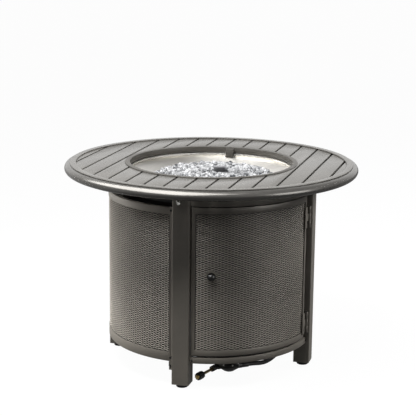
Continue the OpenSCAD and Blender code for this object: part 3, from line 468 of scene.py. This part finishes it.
def moulded(name, grain, colour, rough, fleck=1400.0, relief=0.1):
    """Moulded plastic or rubber with a fine grain."""
    finish = Finish(name)
    node = finish.group(grain, Grain=fleck, Cloud=20.0)
    finish.blend(node.outputs["Tone"], tinted(colour, 0.85), tinted(colour, 1.15))
    finish.blend(node.outputs["Smudge"], rough - 0.06, rough + 0.06, "Roughness")
    finish.bump(node.outputs["Height"], relief, 0.0003)
    return finish.material


def nugget_glass(name, light, dark):
    """Clear and grey fire glass; each nugget has a tone of its own."""
    finish = Finish(name)
    tone = finish.add("ShaderNodeAttribute", {}, attribute_name="nugget_tone")
    finish.blend(tone.outputs["Fac"], dark, light)
    ripple = finish.add("ShaderNodeTexNoise", {"Vector": finish.place, "Scale": 160.0, "Detail": 2.0})
    finish.blend(ripple.outputs["Fac"], 0.03, 0.16, "Roughness")
    finish.bump(ripple.outputs["Fac"], 0.25, 0.001)
    finish.put({"IOR": 1.5, "Transmission Weight": 0.35})
    return finish.material


def make_finishes(tones):
    """All finishes by the name of their slot; the mesh back and the collar finish are no slots but the bronze
    paint darkened as painted shade, and the mesh paint is the bronze lightened as painted light.
    """
    grain = paint_grain_group()
    lines = spun_lines_group()
    bronze = tuple(tones.bronze)
    return {
        "bronze_paint": painted("Bronze paint", grain, bronze, 0.36, metallic=0.1, specular=0.35),
        # Painted light: the strands wear the drum's bronze made 1.65 times lighter, to stand in for light that
        # their own relief shades off
        "mesh_paint": painted("Mesh paint with painted light", grain, tinted(bronze, 1.65), 0.44, metallic=0.1, specular=0.35),
        "top_paint": painted("Top paint", grain, tuple(tones.top), 0.27, metallic=0.1, relief=0.015,
                             smudge=0.015),
        "rim_paint": painted("Rim paint", grain, tuple(tones.rim), 0.25, metallic=0.7, relief=0.015,
                             smudge=0.02),
        # Painted shade: the sheet behind the strands is the bronze at 0.16 of its tone, for the dark inside of
        # the drum seen through the slots
        "mesh_back": painted("Mesh back painted shade", grain, tinted(bronze, 0.16), 0.6, metallic=0.4),
        # Painted shade: the collar and the pan clip are the bronze at 0.3 of its tone, for the unlit hollow
        # round the pan
        "collar_painted_shade": painted("Collar painted shade", grain, tinted(bronze, 0.3), 0.4, specular=0.35),
        "black_steel": painted("Black steel", grain, (0.016, 0.015, 0.014), 0.5),
        "regulator_paint": painted("Regulator paint", grain, (0.075, 0.072, 0.068), 0.45, metallic=0.3,
                                   relief=0.3, fleck=420.0),
        "stainless": bright_metal("Stainless sheet", lines, tuple(tones.steel), 0.36, relief=0.03),
        "hood_steel": bright_metal("Hood mesh steel", lines, (0.13, 0.13, 0.135), 0.45),
        "zinc": bright_metal("Zinc plate", lines, tuple(tones.zinc), 0.3, lines_scale=400.0),
        "brass": bright_metal("Brass", lines, tuple(tones.brass), 0.28, lines_scale=500.0),
        "black_plastic": moulded("Black plastic", grain, (0.014, 0.014, 0.014), 0.42),
        "foot_plastic": moulded("Foot plastic", grain, (0.017, 0.016, 0.016), 0.5),
        "gloss_black": moulded("Gloss black", grain, (0.008, 0.008, 0.008), 0.14, relief=0.02),
        "red_plastic": moulded("Red plastic", grain, (0.5, 0.02, 0.015), 0.3),
        "ceramic": moulded("Ceramic", grain, (0.75, 0.72, 0.66), 0.25, relief=0.05),
        "hose_rubber": moulded("Hose rubber", grain, tuple(tones.rubber), 0.55, fleck=900.0, relief=0.25),
        "fire_glass": nugget_glass("Fire glass", tuple(tones.glass_light), tuple(tones.glass_dark)),
    }


FINISHES = {}


def finish_of(node):
    return FINISHES[SLOT_OF[node]]


# Operators, one for each piece or group of like pieces

# Level direction from the table to the camera
TO_FRONT = (0.26, -0.965, 0.0)


class FIRETABLE_OT_stage(bpy.types.Operator):
    """Camera, pale floor and soft light"""
    bl_idname = "firetable.stage"
    bl_label = "Stage"

    def execute(self, context):
        studio = context.scene.fire_table_studio
        scene = context.scene
        scene.view_settings.view_transform = "Standard"

        bpy.ops.object.select_all(action="DESELECT")
        bpy.ops.object.camera_add(location=studio.camera_place, rotation=studio.camera_turn)
        camera = context.active_object
        camera.name = "photo_camera"
        camera.data.sensor_width = 36.0
        camera.data.lens = studio.camera_lens
        camera.data.clip_end = 200.0
        scene.camera = camera

        bpy.ops.mesh.primitive_plane_add(size=120.0, location=(0, 0, 0))
        floor = context.active_object
        floor.name = "studio_floor"
        floor.data.materials.append(self.pale_floor())

        self.room(scene, studio.ambient)
        self.soft_box("key_box", (-0.50, -1.15, 3.05), (2.2, 0.7), studio.key_power, "matt")
        self.soft_box("key_sheen", (-0.78, -0.73, 2.5), (3.6, 2.74), studio.key_sheen, "gloss", aim=1.54)
        self.soft_box("side_box", (-1.5, 0.2, 0.25), (1.2, 0.5), studio.side_power, "matt", aim=0.25)
        self.soft_box("fill_box", (2.65, -0.85, 1.85), (1.5, 0.9), studio.fill_power, "matt")
        self.soft_box("fill_sheen", (2.78, -0.80, 0.95), (1.5, 1.6), studio.fill_sheen, "gloss")
        self.soft_box("back_box", (2.5, 1.4, 1.9), (1.2, 0.9), studio.back_power, "matt")
        return {"FINISHED"}

    def soft_box(self, name, place, size, power, lights, aim=0.5):
        """Soft lamp aimed at a height over the table's centre, for matt light or for gloss."""
        bpy.ops.object.light_add(type="AREA", location=place)
        lamp = bpy.context.active_object
        lamp.name = name
        lamp.visible_camera = False
        lamp.visible_diffuse = lights == "matt"
        lamp.visible_glossy = lights == "gloss"
        lamp.data.shape = "RECTANGLE"
        lamp.data.size, lamp.data.size_y = size
        lamp.data.energy = power
        turn = Vector((0, 0, aim)) - Vector(place)
        lamp.rotation_euler = turn.to_track_quat("-Z", "Y").to_euler()

    def math_node(self, tree, operation, first, second):
        return add_node(tree, "ShaderNodeMath", {0: first, 1: second}, operation=operation).outputs["Value"]

    def range_node(self, tree, value, low, high, at_low, at_high):
        """Soft step from one value to another."""
        return add_node(tree, "ShaderNodeMapRange", {
            "Value": value, "From Min": low, "From Max": high, "To Min": at_low, "To Max": at_high},
            interpolation_type="SMOOTHSTEP").outputs["Result"]

    def pick(self, tree, mask, off, on):
        """Value off where the mask is 0, and on where it is 1."""
        return add_node(tree, "ShaderNodeMix", {"Factor": mask, "A": off, "B": on}).outputs["Result"]

    def rays(self, tree):
        """Masks of what the camera sees, and of what reflections and clear glass see."""
        path = tree.nodes.new("ShaderNodeLightPath")
        mirrored = self.math_node(tree, "MAXIMUM", path.outputs["Is Glossy Ray"],
                                  path.outputs["Is Transmission Ray"])
        return path.outputs["Is Camera Ray"], mirrored

    def pale_floor(self):
        """White to the camera; reflections see it dimmer, and a little brighter on the left."""
        finish = Finish("Studio floor")
        finish.put({"Base Color": (0.05, 0.05, 0.05, 1.0), "Roughness": 0.9, "Specular IOR Level": 0.1})
        tree = finish.tree
        seen, mirrored = self.rays(tree)
        parts = finish.add("ShaderNodeSeparateXYZ", {"Vector": finish.place})
        fade = self.range_node(tree, parts.outputs["X"], -1.4, -0.3, 0.42, 0.18)
        glow = finish.add("ShaderNodeEmission", {"Strength": self.pick(tree, seen, fade, 1.93)})
        share = self.math_node(tree, "MULTIPLY", seen, 0.5)
        mix = finish.add("ShaderNodeMixShader", {
            "Fac": self.math_node(tree, "MAXIMUM", share, mirrored),
            1: finish.shader.outputs["BSDF"], 2: glow.outputs["Emission"]})
        fill(tree, tree.nodes["Material Output"], {"Surface": mix.outputs["Shader"]})
        return finish.material

    def room(self, scene, ambient):
        """White to the camera; reflections see a bright horizon and a dim ceiling."""
        world = bpy.data.worlds.new("White room")
        scene.world = world
        world.use_nodes = True
        tree = world.node_tree
        seen, mirrored = self.rays(tree)
        way = tree.nodes.new("ShaderNodeTexCoord").outputs["Generated"]
        front = add_node(tree, "ShaderNodeVectorMath", {0: way, 1: TO_FRONT}, operation="DOT_PRODUCT")
        parts = add_node(tree, "ShaderNodeSeparateXYZ", {"Vector": way})
        horizon = self.range_node(tree, front.outputs["Value"], -0.93, -0.5, 1.0, 0.4)
        ceiling = self.range_node(tree, parts.outputs["Z"], 0.45, 0.85, 1.0, 0.7)
        strength = self.pick(tree, mirrored, ambient, self.math_node(tree, "MULTIPLY", horizon, ceiling))
        fill(tree, tree.nodes["Background"], {
            "Color": (1.0, 1.0, 1.0, 1.0), "Strength": self.pick(tree, seen, strength, 1.0)})


# Heights of the hose at the valve, on the floor and at the regulator, and its points: x and y in mm, and the
# share of the drop from the valve, or of the rise to the regulator
HOSE_TOP = 0.4418
HOSE_FLOOR = 0.00775
HOSE_END = 0.0126
HOSE_DROP = [
    (216, 166, 1), (216, 166, 0.9315), (216, 166, 0.8441), (216, 165, 0.7199), (216, 160, 0.5589),
    (216, 152, 0.4071), (216, 140, 0.2691), (215.5, 124, 0.1495), (215, 104, 0.0621), (214, 82, 0.0161),
    (213, 58, 0.0009), (211.5, 34, 0), (208.5, 12, 0)]
HOSE_RISE = [
    (204.5, -10, 0), (199, -30, 0), (192, -47, 0.062), (183, -61.5, 0.354), (172.5, -73.5, 0.771),
    (162, -82.7, 0.99), (152.2, -90.5, 1)]


def route(points, z0, z1):
    """Places in metres of points whose heights are shares of the way from z0 to z1."""
    return [Vector((x / 1000, y / 1000, z0 + share * (z1 - z0))) for x, y, share in points]


def through(points, steps):
    """Smooth curve through points, with a number of steps from each to the next."""
    out = []
    for i in range(len(points) - 1):
        a = points[max(i - 1, 0)]
        b, c = points[i], points[i + 1]
        d = points[min(i + 2, len(points) - 1)]
        for k in range(steps):
            t = k / steps
            out.append(0.5 * (2 * b + (c - a) * t + (2 * a - 5 * b + 4 * c - d) * t ** 2
                              + (3 * b - a - 3 * c + d) * t ** 3))
    return out + [points[-1]]


class FIRETABLE_OT_hose(bpy.types.Operator):
    """Gas hose from the valve to the regulator on the floor, which is made first"""
    bl_idname = "firetable.hose"
    bl_label = "Gas hose"

    def execute(self, context):
        diameter = context.scene.fire_table_sizes.hose_diameter
        points = route(HOSE_DROP, HOSE_FLOOR, HOSE_TOP) + route(HOSE_RISE, HOSE_FLOOR, HOSE_END)
        points = through(points, 4)
        hose = line_along("gas_hose_line", points, diameter / 2, 5)
        hose.data.splines[0].use_smooth = True
        stand_for(hose, "gas_hose")
        return {"FINISHED"}


# Ledge inside the rim, and steps round its nose
LEDGE_WIDTH = 0.016
LEDGE_THICKNESS = 0.008
NOSE_STEPS = 32


class FIRETABLE_OT_top(bpy.types.Operator):
    """Planks, border, rim and collar of the table top"""
    bl_idname = "firetable.top"
    bl_label = "Table top"

    def execute(self, context):
        sizes = context.scene.fire_table_sizes
        eased("top_planks", sizes.plank_edge)
        eased("top_border", sizes.sheet_edge)
        # The collar wears the darkened bronze: painted shade of the unlit hollow round the pan
        eased("top_collar", sizes.sheet_edge, material=FINISHES["collar_painted_shade"])
        self.rim()
        return {"FINISHED"}

    def rim(self):
        """Bullnose with the ledge that carries the planks."""
        low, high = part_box("top_rim")
        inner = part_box("top_border")[1].x
        ledge_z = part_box("top_planks")[0].z
        middle, half = (low.z + high.z) / 2, (high.z - low.z) / 2
        outline = []
        for i in range(NOSE_STEPS + 1):
            turn = math.pi * i / NOSE_STEPS - math.pi / 2
            outline.append((inner + (high.x - inner) * math.cos(turn), middle + half * math.sin(turn)))
        outline += [(inner, ledge_z), (inner - LEDGE_WIDTH, ledge_z),
                    (inner - LEDGE_WIDTH, ledge_z - LEDGE_THICKNESS), (inner, ledge_z - LEDGE_THICKNESS)]
        piece = turned("top_rim_bullnose", outline, 160)
        smooth(piece)
        stand_for(piece, "top_rim")


class FIRETABLE_OT_frames(bpy.types.Operator):
    """Frames of the panels and the door, and the rails above and below the door"""
    bl_idname = "firetable.frames"
    bl_label = "Panel frames"

    def execute(self, context):
        edge = context.scene.fire_table_sizes.sheet_edge
        for node in ("panel_frame_front_left", "panel_frame_back_left", "panel_frame_back_right",
                     "door_frame", "door_header", "door_sill"):
            eased(node, edge)
        return {"FINISHED"}


def azimuth(point):
    """Angle from the front, -Y, towards +X."""
    return math.atan2(point.x, -point.y)


def quarter_span(node, middle):
    """Least and greatest azimuth of a node whose middle is given in degrees."""
    centre = math.radians(middle)
    turns = []
    for vertex in NODES[node].data.vertices:
        off = azimuth(vertex.co) - centre
        turns.append((off + math.pi) % (2 * math.pi) - math.pi)
    return centre + min(turns), centre + max(turns)


# How far the sheet reaches behind its frame, and the gap between the frame and the strands, where the very dark
# sheet shows as a line of painted shade
SHEET_LAP = 0.004
MESH_MARGIN = 0.0022


class FIRETABLE_OT_meshes(bpy.types.Operator):
    """Expanded mesh of the three fixed panels and of the door"""
    bl_idname = "firetable.meshes"
    bl_label = "Expanded mesh"

    def execute(self, context):
        sizes = context.scene.fire_table_sizes
        for node, middle in (("panel_mesh_front_left", -45), ("panel_mesh_back_left", -135),
                             ("panel_mesh_back_right", 135), ("door_mesh", 43)):
            self.panel(node, middle, sizes)
        return {"FINISHED"}

    def panel(self, node, middle, sizes):
        """Strands in the frame's window, on the sheet that closes the panel; that sheet is painted very dark, as
        painted shade for the drum's inside seen through the slots.
        """
        # The closing sheet gets the very dark finish: painted shade for the drum's inside
        paint_node(node, FINISHES["mesh_back"])
        low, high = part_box(node)
        radius = max(v.co.xy.length for v in NODES[node].data.vertices)
        inset = SHEET_LAP + MESH_MARGIN
        a0, a1 = (turn + step * inset / radius for turn, step in zip(quarter_span(node, middle), (1, -1)))
        z0, z1 = low.z + inset, high.z - inset
        columns = round((a1 - a0) * radius / sizes.cell_width)
        rows = round((z1 - z0) / sizes.cell_height)
        width = (a1 - a0) * radius / columns
        height = (z1 - z0) / rows
        piece = self.cell(node + "_strands", width, height, sizes)
        apply_modifier(piece, "ARRAY", count=columns, use_relative_offset=False,
                       use_constant_offset=True, constant_offset_displace=(width, 0, 0),
                       use_merge_vertices=True, merge_threshold=1e-5)
        apply_modifier(piece, "ARRAY", count=rows, use_relative_offset=False,
                       use_constant_offset=True, constant_offset_displace=(0, 0, height))
        apply_modifier(piece, "SOLIDIFY", thickness=sizes.strand_thickness, offset=0.0)
        foot = min(v.co.y for v in piece.data.vertices)
        for vertex in piece.data.vertices:
            turn = a0 + vertex.co.x / radius
            out = radius - 0.0001 + vertex.co.y - foot
            vertex.co = (out * math.sin(turn), -out * math.cos(turn), z0 + vertex.co.z)
        begin_edit(piece)
        bpy.ops.mesh.normals_make_consistent(inside=False)
        end_edit()
        smooth(piece, 40)
        wear(piece, finish_of(node), NODES[node]["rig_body"])

    def cell(self, name, width, height, sizes):
        """Two zigzag strands of one cell; the lower edge of each stands out."""
        bond = width * 0.07
        half = sizes.strand_width / 2
        rise = height / 2 - half
        zigzag = [(0.0, 0.0), (bond, 0.0), (width / 2 - bond, rise), (width / 2 + bond, rise),
                  (width - bond, 0.0), (width, 0.0)]
        piece = started(name, bpy.ops.mesh.primitive_plane_add, POINT)
        bpy.ops.mesh.delete(type="VERT")
        build = bmesh.from_edit_mesh(piece.data)
        for base, sign in ((half / 2, 1), (height - half / 2, -1)):
            chain = []
            for x, up in zigzag:
                z = base + sign * up
                chain.append((build.verts.new((x, sizes.strand_depth / 2, z - half * 0.8)),
                              build.verts.new((x, -sizes.strand_depth / 2, z + half * 0.8))))
            for (a, b), (c, d) in zip(chain, chain[1:]):
                build.faces.new((a, c, d, b))
        bmesh.update_edit_mesh(piece.data)
        end_edit()
        return piece


# Middle of the scatter, depth of the bed under it, clear room round the pilot hood, and the dip in front of the
# hood: how far it reaches forward, left and right, and its depth
GLASS_MIDDLE = (0.0115, 0.003)
GLASS_EDGE = 0.016
BED_DROP = 0.014
HOOD_ROOM = 0.004
HOOD_DIP = 0.045
DIP_LEFT = 0.012
DIP_RIGHT = 0.016
DIP_DEPTH = 0.010


class FIRETABLE_OT_fire_glass(bpy.types.Operator):
    """Bed of loose glass nuggets in the burner pan"""
    bl_idname = "firetable.fire_glass"
    bl_label = "Fire glass"

    def execute(self, context):
        sizes = context.scene.fire_table_sizes
        rng = random.Random(sizes.nugget_seed)
        low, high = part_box("fire_glass")
        reach = high.x
        bed = self.bed(low.z, high.z, reach)
        shapes = [self.nugget(rng, sizes.nugget, i) for i in range(7)]
        copies = []
        for place in self.places(rng, low.z, high.z, reach, sizes.nugget):
            source = rng.choice(shapes)
            item = bpy.data.objects.new("nugget", source.data.copy())
            size = rng.uniform(0.72, 1.22)
            turn = (Matrix.Rotation(rng.uniform(0, 6.28), 4, "Z")
                    @ Matrix.Rotation(rng.uniform(0, 6.28), 4, "X"))
            item.data.transform(Matrix.Translation(place) @ turn @ Matrix.Scale(size, 4))
            self.tone(item, min(1.0, max(0.0, rng.gauss(0.66, 0.3))))
            bpy.context.scene.collection.objects.link(item)
            copies.append(item)
        self.tone(bed, 0.6)
        for shape in shapes:
            bpy.data.objects.remove(shape)
        stand_for(joined("fire_glass_nuggets", [bed] + copies), "fire_glass")
        return {"FINISHED"}

    def surface(self, r, z0, z1, reach):
        """Height of the glass at a radius: flat in the middle, half as high at the edge."""
        return z0 + (z1 - z0) * 0.5 + (z1 - z0) * 0.5 * (1 - (r / reach) ** 3.5)

    def bed(self, z0, z1, reach):
        """Ground under the loose nuggets."""
        rings = [reach * k / 12 for k in range(1, 12)]
        outline = [(0.0, z0), (rings[-1] - 0.012, z0)]
        outline += [(r, self.surface(r, z0, z1, reach) - BED_DROP) for r in reversed(rings)]
        outline += [(0.0, self.surface(0, z0, z1, reach) - BED_DROP)]
        return turned("fire_glass_bed", outline, 48, closed=False)

    def nugget(self, rng, size, index):
        """A broken lump with its corners rounded off."""
        piece = started("nugget_shape", bpy.ops.mesh.primitive_cube_add, size)
        bpy.ops.transform.resize(
            value=(rng.uniform(0.85, 1.2), rng.uniform(0.8, 1.1), rng.uniform(0.55, 0.8)))
        bpy.ops.transform.vertex_random(offset=size * 0.2, seed=index + 1)
        bpy.ops.mesh.bevel(offset=size * 0.16, segments=1, affect="EDGES")
        end_edit()
        return piece

    def tone(self, item, value):
        """How pale a nugget is, on all its faces."""
        layer = item.data.attributes.new("nugget_tone", "FLOAT", "FACE")
        layer.data.foreach_set("value", [value] * len(item.data.polygons))

    def places(self, rng, z0, z1, reach, size):
        """Even scatter over the bed, round the pilot hood and lower in front of it."""
        low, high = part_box("pilot_hood")
        spots = []
        tries = 0
        while len(spots) < 900 and tries < 60000:
            tries += 1
            r = (reach - GLASS_EDGE) * math.sqrt(rng.random())
            turn = rng.uniform(0, 2 * math.pi)
            x, y = r * math.cos(turn) + GLASS_MIDDLE[0], r * math.sin(turn) + GLASS_MIDDLE[1]
            if low.x - HOOD_ROOM < x < high.x + HOOD_ROOM and low.y - HOOD_ROOM < y < high.y + HOOD_ROOM:
                continue
            if all((x - p.x) ** 2 + (y - p.y) ** 2 > (size * 0.78) ** 2 for p in spots):
                z = self.surface(r, z0, z1, reach) - size * rng.uniform(0.3, 0.75)
                if low.x - DIP_LEFT < x < high.x + DIP_RIGHT and low.y - HOOD_DIP < y < low.y:
                    z -= DIP_DEPTH
                spots.append(Vector((x, y, z)))
        return spots


# Stud of a foot
STUD_RADIUS = 0.005
STUD_PITCH = 0.0016
STUD_THREADS = 14


class FIRETABLE_OT_feet(bpy.types.Operator):
    """Levelling feet: ribbed pads on threaded studs"""
    bl_idname = "firetable.feet"
    bl_label = "Feet"

    def execute(self, context):
        low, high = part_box("foot_front")
        rim = (high.x - low.x) / 2
        stud = STUD_RADIUS
        outline = [(0, 0), (rim - 0.0032, 0), (rim - 0.001, 0.0007), (rim, 0.0022), (rim, 0.0044),
                   (rim - 0.0008, 0.005), (rim - 0.0008, 0.006), (rim, 0.0066), (rim, 0.0088),
                   (rim - 0.001, 0.0104), (rim - 0.003, 0.011), (stud + 0.002, 0.011), (stud + 0.002, 0.0113),
                   (stud, 0.0113)]
        for i in range(1, STUD_THREADS + 1):
            base = 0.0113 + STUD_PITCH * i
            outline += [(stud - 0.0006, base - STUD_PITCH / 2), (stud, base)]
        outline += [(stud, high.z), (0, high.z)]
        pad = turned("foot_pad", outline, 40, closed=False)
        smooth(pad, 30)
        for node in ("foot_front", "foot_right", "foot_back", "foot_left"):
            low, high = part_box(node)
            middle = (low + high) / 2
            item = twin(pad, Matrix.Translation((middle.x, middle.y, 0)))
            item.name = node + "_ribbed"
            stand_for(item, node)
        bpy.data.objects.remove(pad)
        return {"FINISHED"}


class FIRETABLE_OT_wing_screws(bpy.types.Operator):
    """Wing screws at the tops of the legs"""
    bl_idname = "firetable.wing_screws"
    bl_label = "Wing screws"

    def execute(self, context):
        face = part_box("leg_front")[0].y
        heads = [v.co for v in NODES["wing_screws"].data.vertices if v.co.y < face]
        side = (min(p.x for p in heads) + max(p.x for p in heads)) / 2
        height = min(p.z for p in heads) + 0.005
        shape = self.screw()
        screws = [twin(shape, outward(turn, side, -face, height)) for turn in (0, 90, 180, 270)]
        bpy.data.objects.remove(shape)
        piece = joined("wing_screws_cast", screws)
        smooth(piece, 40)
        stand_for(piece, "wing_screws")
        return {"FINISHED"}

    def screw(self):
        """Hub with two wings that open upwards."""
        hub = turned("wing_hub", [
            (0, -0.03), (0.003, -0.03), (0.003, 0.0003), (0.005, 0.0003), (0.005, 0.0024), (0.0044, 0.0034),
            (0.0036, 0.004), (0.0036, 0.0062), (0.0028, 0.007), (0, 0.007)], 28, closed=False)
        wings = []
        for sign in (-1, 1):
            wing = bar("wing", (0.0032, 0.0092, 0.0042), 0.0013)
            wing.data.transform(
                Matrix.Translation((0, 0, 0.0045)) @ Matrix.Rotation(sign * math.radians(35), 4, "Z")
                @ Matrix.Translation((0, 0.0050, 0)))
            wings.append(wing)
        return joined("wing_screw", [hub] + wings)


HOOD_WIDTH = 0.039
HOOD_DEPTH = 0.026
HOOD_TURN = 15


class FIRETABLE_OT_pilot(bpy.types.Operator):
    """Wire hood over the pilot, round a dark block that is painted shade for the hood's inside"""
    bl_idname = "firetable.pilot"
    bl_label = "Pilot hood"

    def execute(self, context):
        low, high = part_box("pilot_hood")
        middle = (low + high) / 2
        wire = context.scene.fire_table_sizes.hood_wire
        piece = started("pilot_hood_wires", bpy.ops.mesh.primitive_cube_add, 1.0)
        bpy.ops.transform.resize(value=(HOOD_WIDTH - wire, HOOD_DEPTH - wire, high.z - low.z - wire))
        bpy.ops.mesh.subdivide(number_cuts=8)
        bpy.ops.mesh.select_all(action="DESELECT")
        build = bmesh.from_edit_mesh(piece.data)
        for face in build.faces:
            face.select_set(face.normal.z < -0.9)
        bmesh.update_edit_mesh(piece.data)
        bpy.ops.mesh.delete(type="FACE")
        end_edit()
        apply_modifier(piece, "WIREFRAME", thickness=wire, use_even_offset=False, use_boundary=True)
        # Dark block that fills the wires: painted shade for the inside of the hood
        core = bar("pilot_hood_shade_block", (HOOD_WIDTH - 0.006, HOOD_DEPTH - 0.006, high.z - low.z - 0.005), 0.002)
        piece = joined("pilot_hood_wires", [piece, core])
        piece.data.transform(Matrix.Translation(middle) @ Matrix.Rotation(math.radians(HOOD_TURN), 4, "Z"))
        smooth(piece, 40)
        stand_for(piece, "pilot_hood")
        return {"FINISHED"}


# Turn of the control plate from the front, and the lines behind it: x and y in mm, and the share of the height
CONTROL_TURN = 135
LINE_POINTS = [
    (21.5, 21.5, 1), (30, 30, 1), (42, 41, 0.926), (60, 56, 0.648), (84, 74, 0.278), (112, 91, 0.046),
    (140, 106, -0.037), (163, 118, -0.019), (180, 130, 0), (192, 141.5, 0), (201.8, 151.3, 0)]
LEAD_POINTS = [
    (175, 226, 0), (165, 213, 0), (148, 190, 0.039), (124, 158, 0.136), (98, 122, 0.253),
    (72, 84, 0.37), (50, 52, 0.486), (36, 31, 0.623), (29, 20.3, 0.817), (29, 20.3, 1)]


LINE_RADIUS = 0.006
LEAD_RADIUS = 0.0025


class FIRETABLE_OT_controls(bpy.types.Operator):
    """Control plate, gas knob with its pointer, igniter button, and the lines behind them"""
    bl_idname = "firetable.controls"
    bl_label = "Controls"

    def execute(self, context):
        for node, edge in (("control_plate", 0.0012), ("valve_knob", 0.0009), ("igniter_body", 0.0005),
                           ("igniter_button", 0.0008), ("gas_valve", 0.0006)):
            eased(node, edge, 3)
        self.pointer()
        control_z = sum(corner.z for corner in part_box("valve_knob")) / 2
        line_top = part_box("burner_gas_line")[1].z - LINE_RADIUS
        lead_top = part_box("spark_lead")[1].z
        self.line("burner_gas_line", route(LINE_POINTS, control_z, line_top), LINE_RADIUS, 0.8, 9)
        self.line("spark_lead", route(LEAD_POINTS, control_z, lead_top), LEAD_RADIUS, 1.0, 4)
        return {"FINISHED"}

    def pointer(self):
        """Pale mark on the grip of the gas knob."""
        axes = outward(CONTROL_TURN, 0, 0, 0).to_3x3()
        out = axes @ Vector((0, 0, 1))
        low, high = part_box("valve_knob")
        middle = (low + high) / 2
        front = max(v.co.dot(out) for v in NODES["valve_knob"].data.vertices)
        mark = bar("valve_knob_pointer", (0.002, 0.011, 0.0008), 0.0003)
        side = middle.dot(axes @ Vector((1, 0, 0)))
        mark.data.transform(outward(CONTROL_TURN, side, front, middle.z + 0.0095))
        smooth(mark)
        wear(mark, FINISHES["ceramic"], NODES["valve_knob"]["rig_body"])

    def line(self, node, points, radius, waist, steps):
        stand_for(tube(node + "_tube", through(points, steps), radius, waist), node)


# Middle of the regulator's cover, and the radius of the circle of its screws
COVER_CENTRE = Vector((0.100, -0.132, 0.0215))
COVER_SCREWS = 0.0275


class FIRETABLE_OT_supply(bpy.types.Operator):
    """Regulator with its cover screws, fluted nut and hose ferrules"""
    bl_idname = "firetable.supply"
    bl_label = "Gas supply"

    def execute(self, context):
        for node, edge in (("regulator_body", 0.0006), ("regulator_stem", 0.0004),
                           ("regulator_handwheel", 0.0007), ("hose_ferrules", 0.0012)):
            eased(node, edge)
        head = turned("cover_screw", [
            (0, 0), (0.0026, 0), (0.0026, 0.0054), (0.0021, 0.006), (0.0014, 0.006), (0.0014, 0.0045),
            (0, 0.0045)], 18, closed=False)
        screws = []
        for i in range(6):
            turn = math.radians(60 * i + 8)
            spot = COVER_CENTRE + COVER_SCREWS * Vector((math.cos(turn), math.sin(turn), 0))
            screws.append(twin(head, Matrix.Translation(spot)))
        bpy.data.objects.remove(head)
        piece = joined("regulator_cover_screws", screws)
        smooth(piece)
        wear(piece, FINISHES["zinc"], NODES["regulator_body"]["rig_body"])
        return {"FINISHED"}


class FIRETABLE_OT_hardware(bpy.types.Operator):
    """Hinges, screws, the knob's rose, brackets, plugs, spokes and the pan clip, with eased edges"""
    bl_idname = "firetable.hardware"
    bl_label = "Hardware"

    def execute(self, context):
        for node, edge in (("hinge_door_leaves", 0.0005), ("hinge_leg_leaves", 0.0005),
                           ("hinge_pins", 0.0005), ("knob_rose", 0.0006), ("panel_screws", 0.0006),
                           ("panel_brackets", 0.0004), ("leg_plugs", 0.0005), ("top_spokes", 0.0006)):
            eased(node, edge)
        # The pan clip wears the same darkened bronze, painted shade
        eased("pan_clip", 0.0008, material=FINISHES["collar_painted_shade"])
        return {"FINISHED"}


class FIRETABLE_OT_plain_nodes(bpy.types.Operator):
    """Finishes of the solids that keep their own shape"""
    bl_idname = "firetable.plain_nodes"
    bl_label = "Other parts"

    def execute(self, context):
        for node in NODES:
            paint_node(node, finish_of(node))
        return {"FINISHED"}


class FIRETABLE_PT_panel(bpy.types.Panel):
    bl_label = "Fire table"
    bl_idname = "FIRETABLE_PT_panel"
    bl_space_type = "VIEW_3D"
    bl_region_type = "UI"
    bl_category = "Fire table"

    def draw(self, context):
        scene = context.scene
        for settings in (scene.fire_table_sizes, scene.fire_table_finishes, scene.fire_table_studio):
            box = self.layout.box()
            for name in settings.__annotations__:
                box.prop(settings, name)
        for operator in OPERATORS:
            self.layout.operator(operator.bl_idname)


OPERATORS = (
    FIRETABLE_OT_stage,
    FIRETABLE_OT_supply,
    FIRETABLE_OT_hose,
    FIRETABLE_OT_plain_nodes,
    FIRETABLE_OT_top,
    FIRETABLE_OT_frames,
    FIRETABLE_OT_meshes,
    FIRETABLE_OT_fire_glass,
    FIRETABLE_OT_pilot,
    FIRETABLE_OT_wing_screws,
    FIRETABLE_OT_hardware,
    FIRETABLE_OT_feet,
    FIRETABLE_OT_controls,
)
SETTINGS = (FireTableSizes, FireTableFinishes, FireTableStudio)
CLASSES = SETTINGS + OPERATORS + (FIRETABLE_PT_panel,)


def register():
    for item in CLASSES:
        bpy.utils.register_class(item)
    bpy.types.Scene.fire_table_sizes = bpy.props.PointerProperty(type=FireTableSizes)
    bpy.types.Scene.fire_table_finishes = bpy.props.PointerProperty(type=FireTableFinishes)
    bpy.types.Scene.fire_table_studio = bpy.props.PointerProperty(type=FireTableStudio)


def unregister():
    del bpy.types.Scene.fire_table_studio
    del bpy.types.Scene.fire_table_finishes
    del bpy.types.Scene.fire_table_sizes
    for item in reversed(CLASSES):
        bpy.utils.unregister_class(item)


def main():
    register()
    FINISHES.update(make_finishes(bpy.context.scene.fire_table_finishes))
    bpy.ops.firetable.stage()
    bpy.ops.firetable.supply()
    bpy.ops.firetable.hose()
    bpy.ops.firetable.plain_nodes()
    bpy.ops.firetable.top()
    bpy.ops.firetable.frames()
    bpy.ops.firetable.meshes()
    bpy.ops.firetable.fire_glass()
    bpy.ops.firetable.pilot()
    bpy.ops.firetable.wing_screws()
    bpy.ops.firetable.hardware()
    bpy.ops.firetable.feet()
    bpy.ops.firetable.controls()


if __name__ == "__main__":
    main()
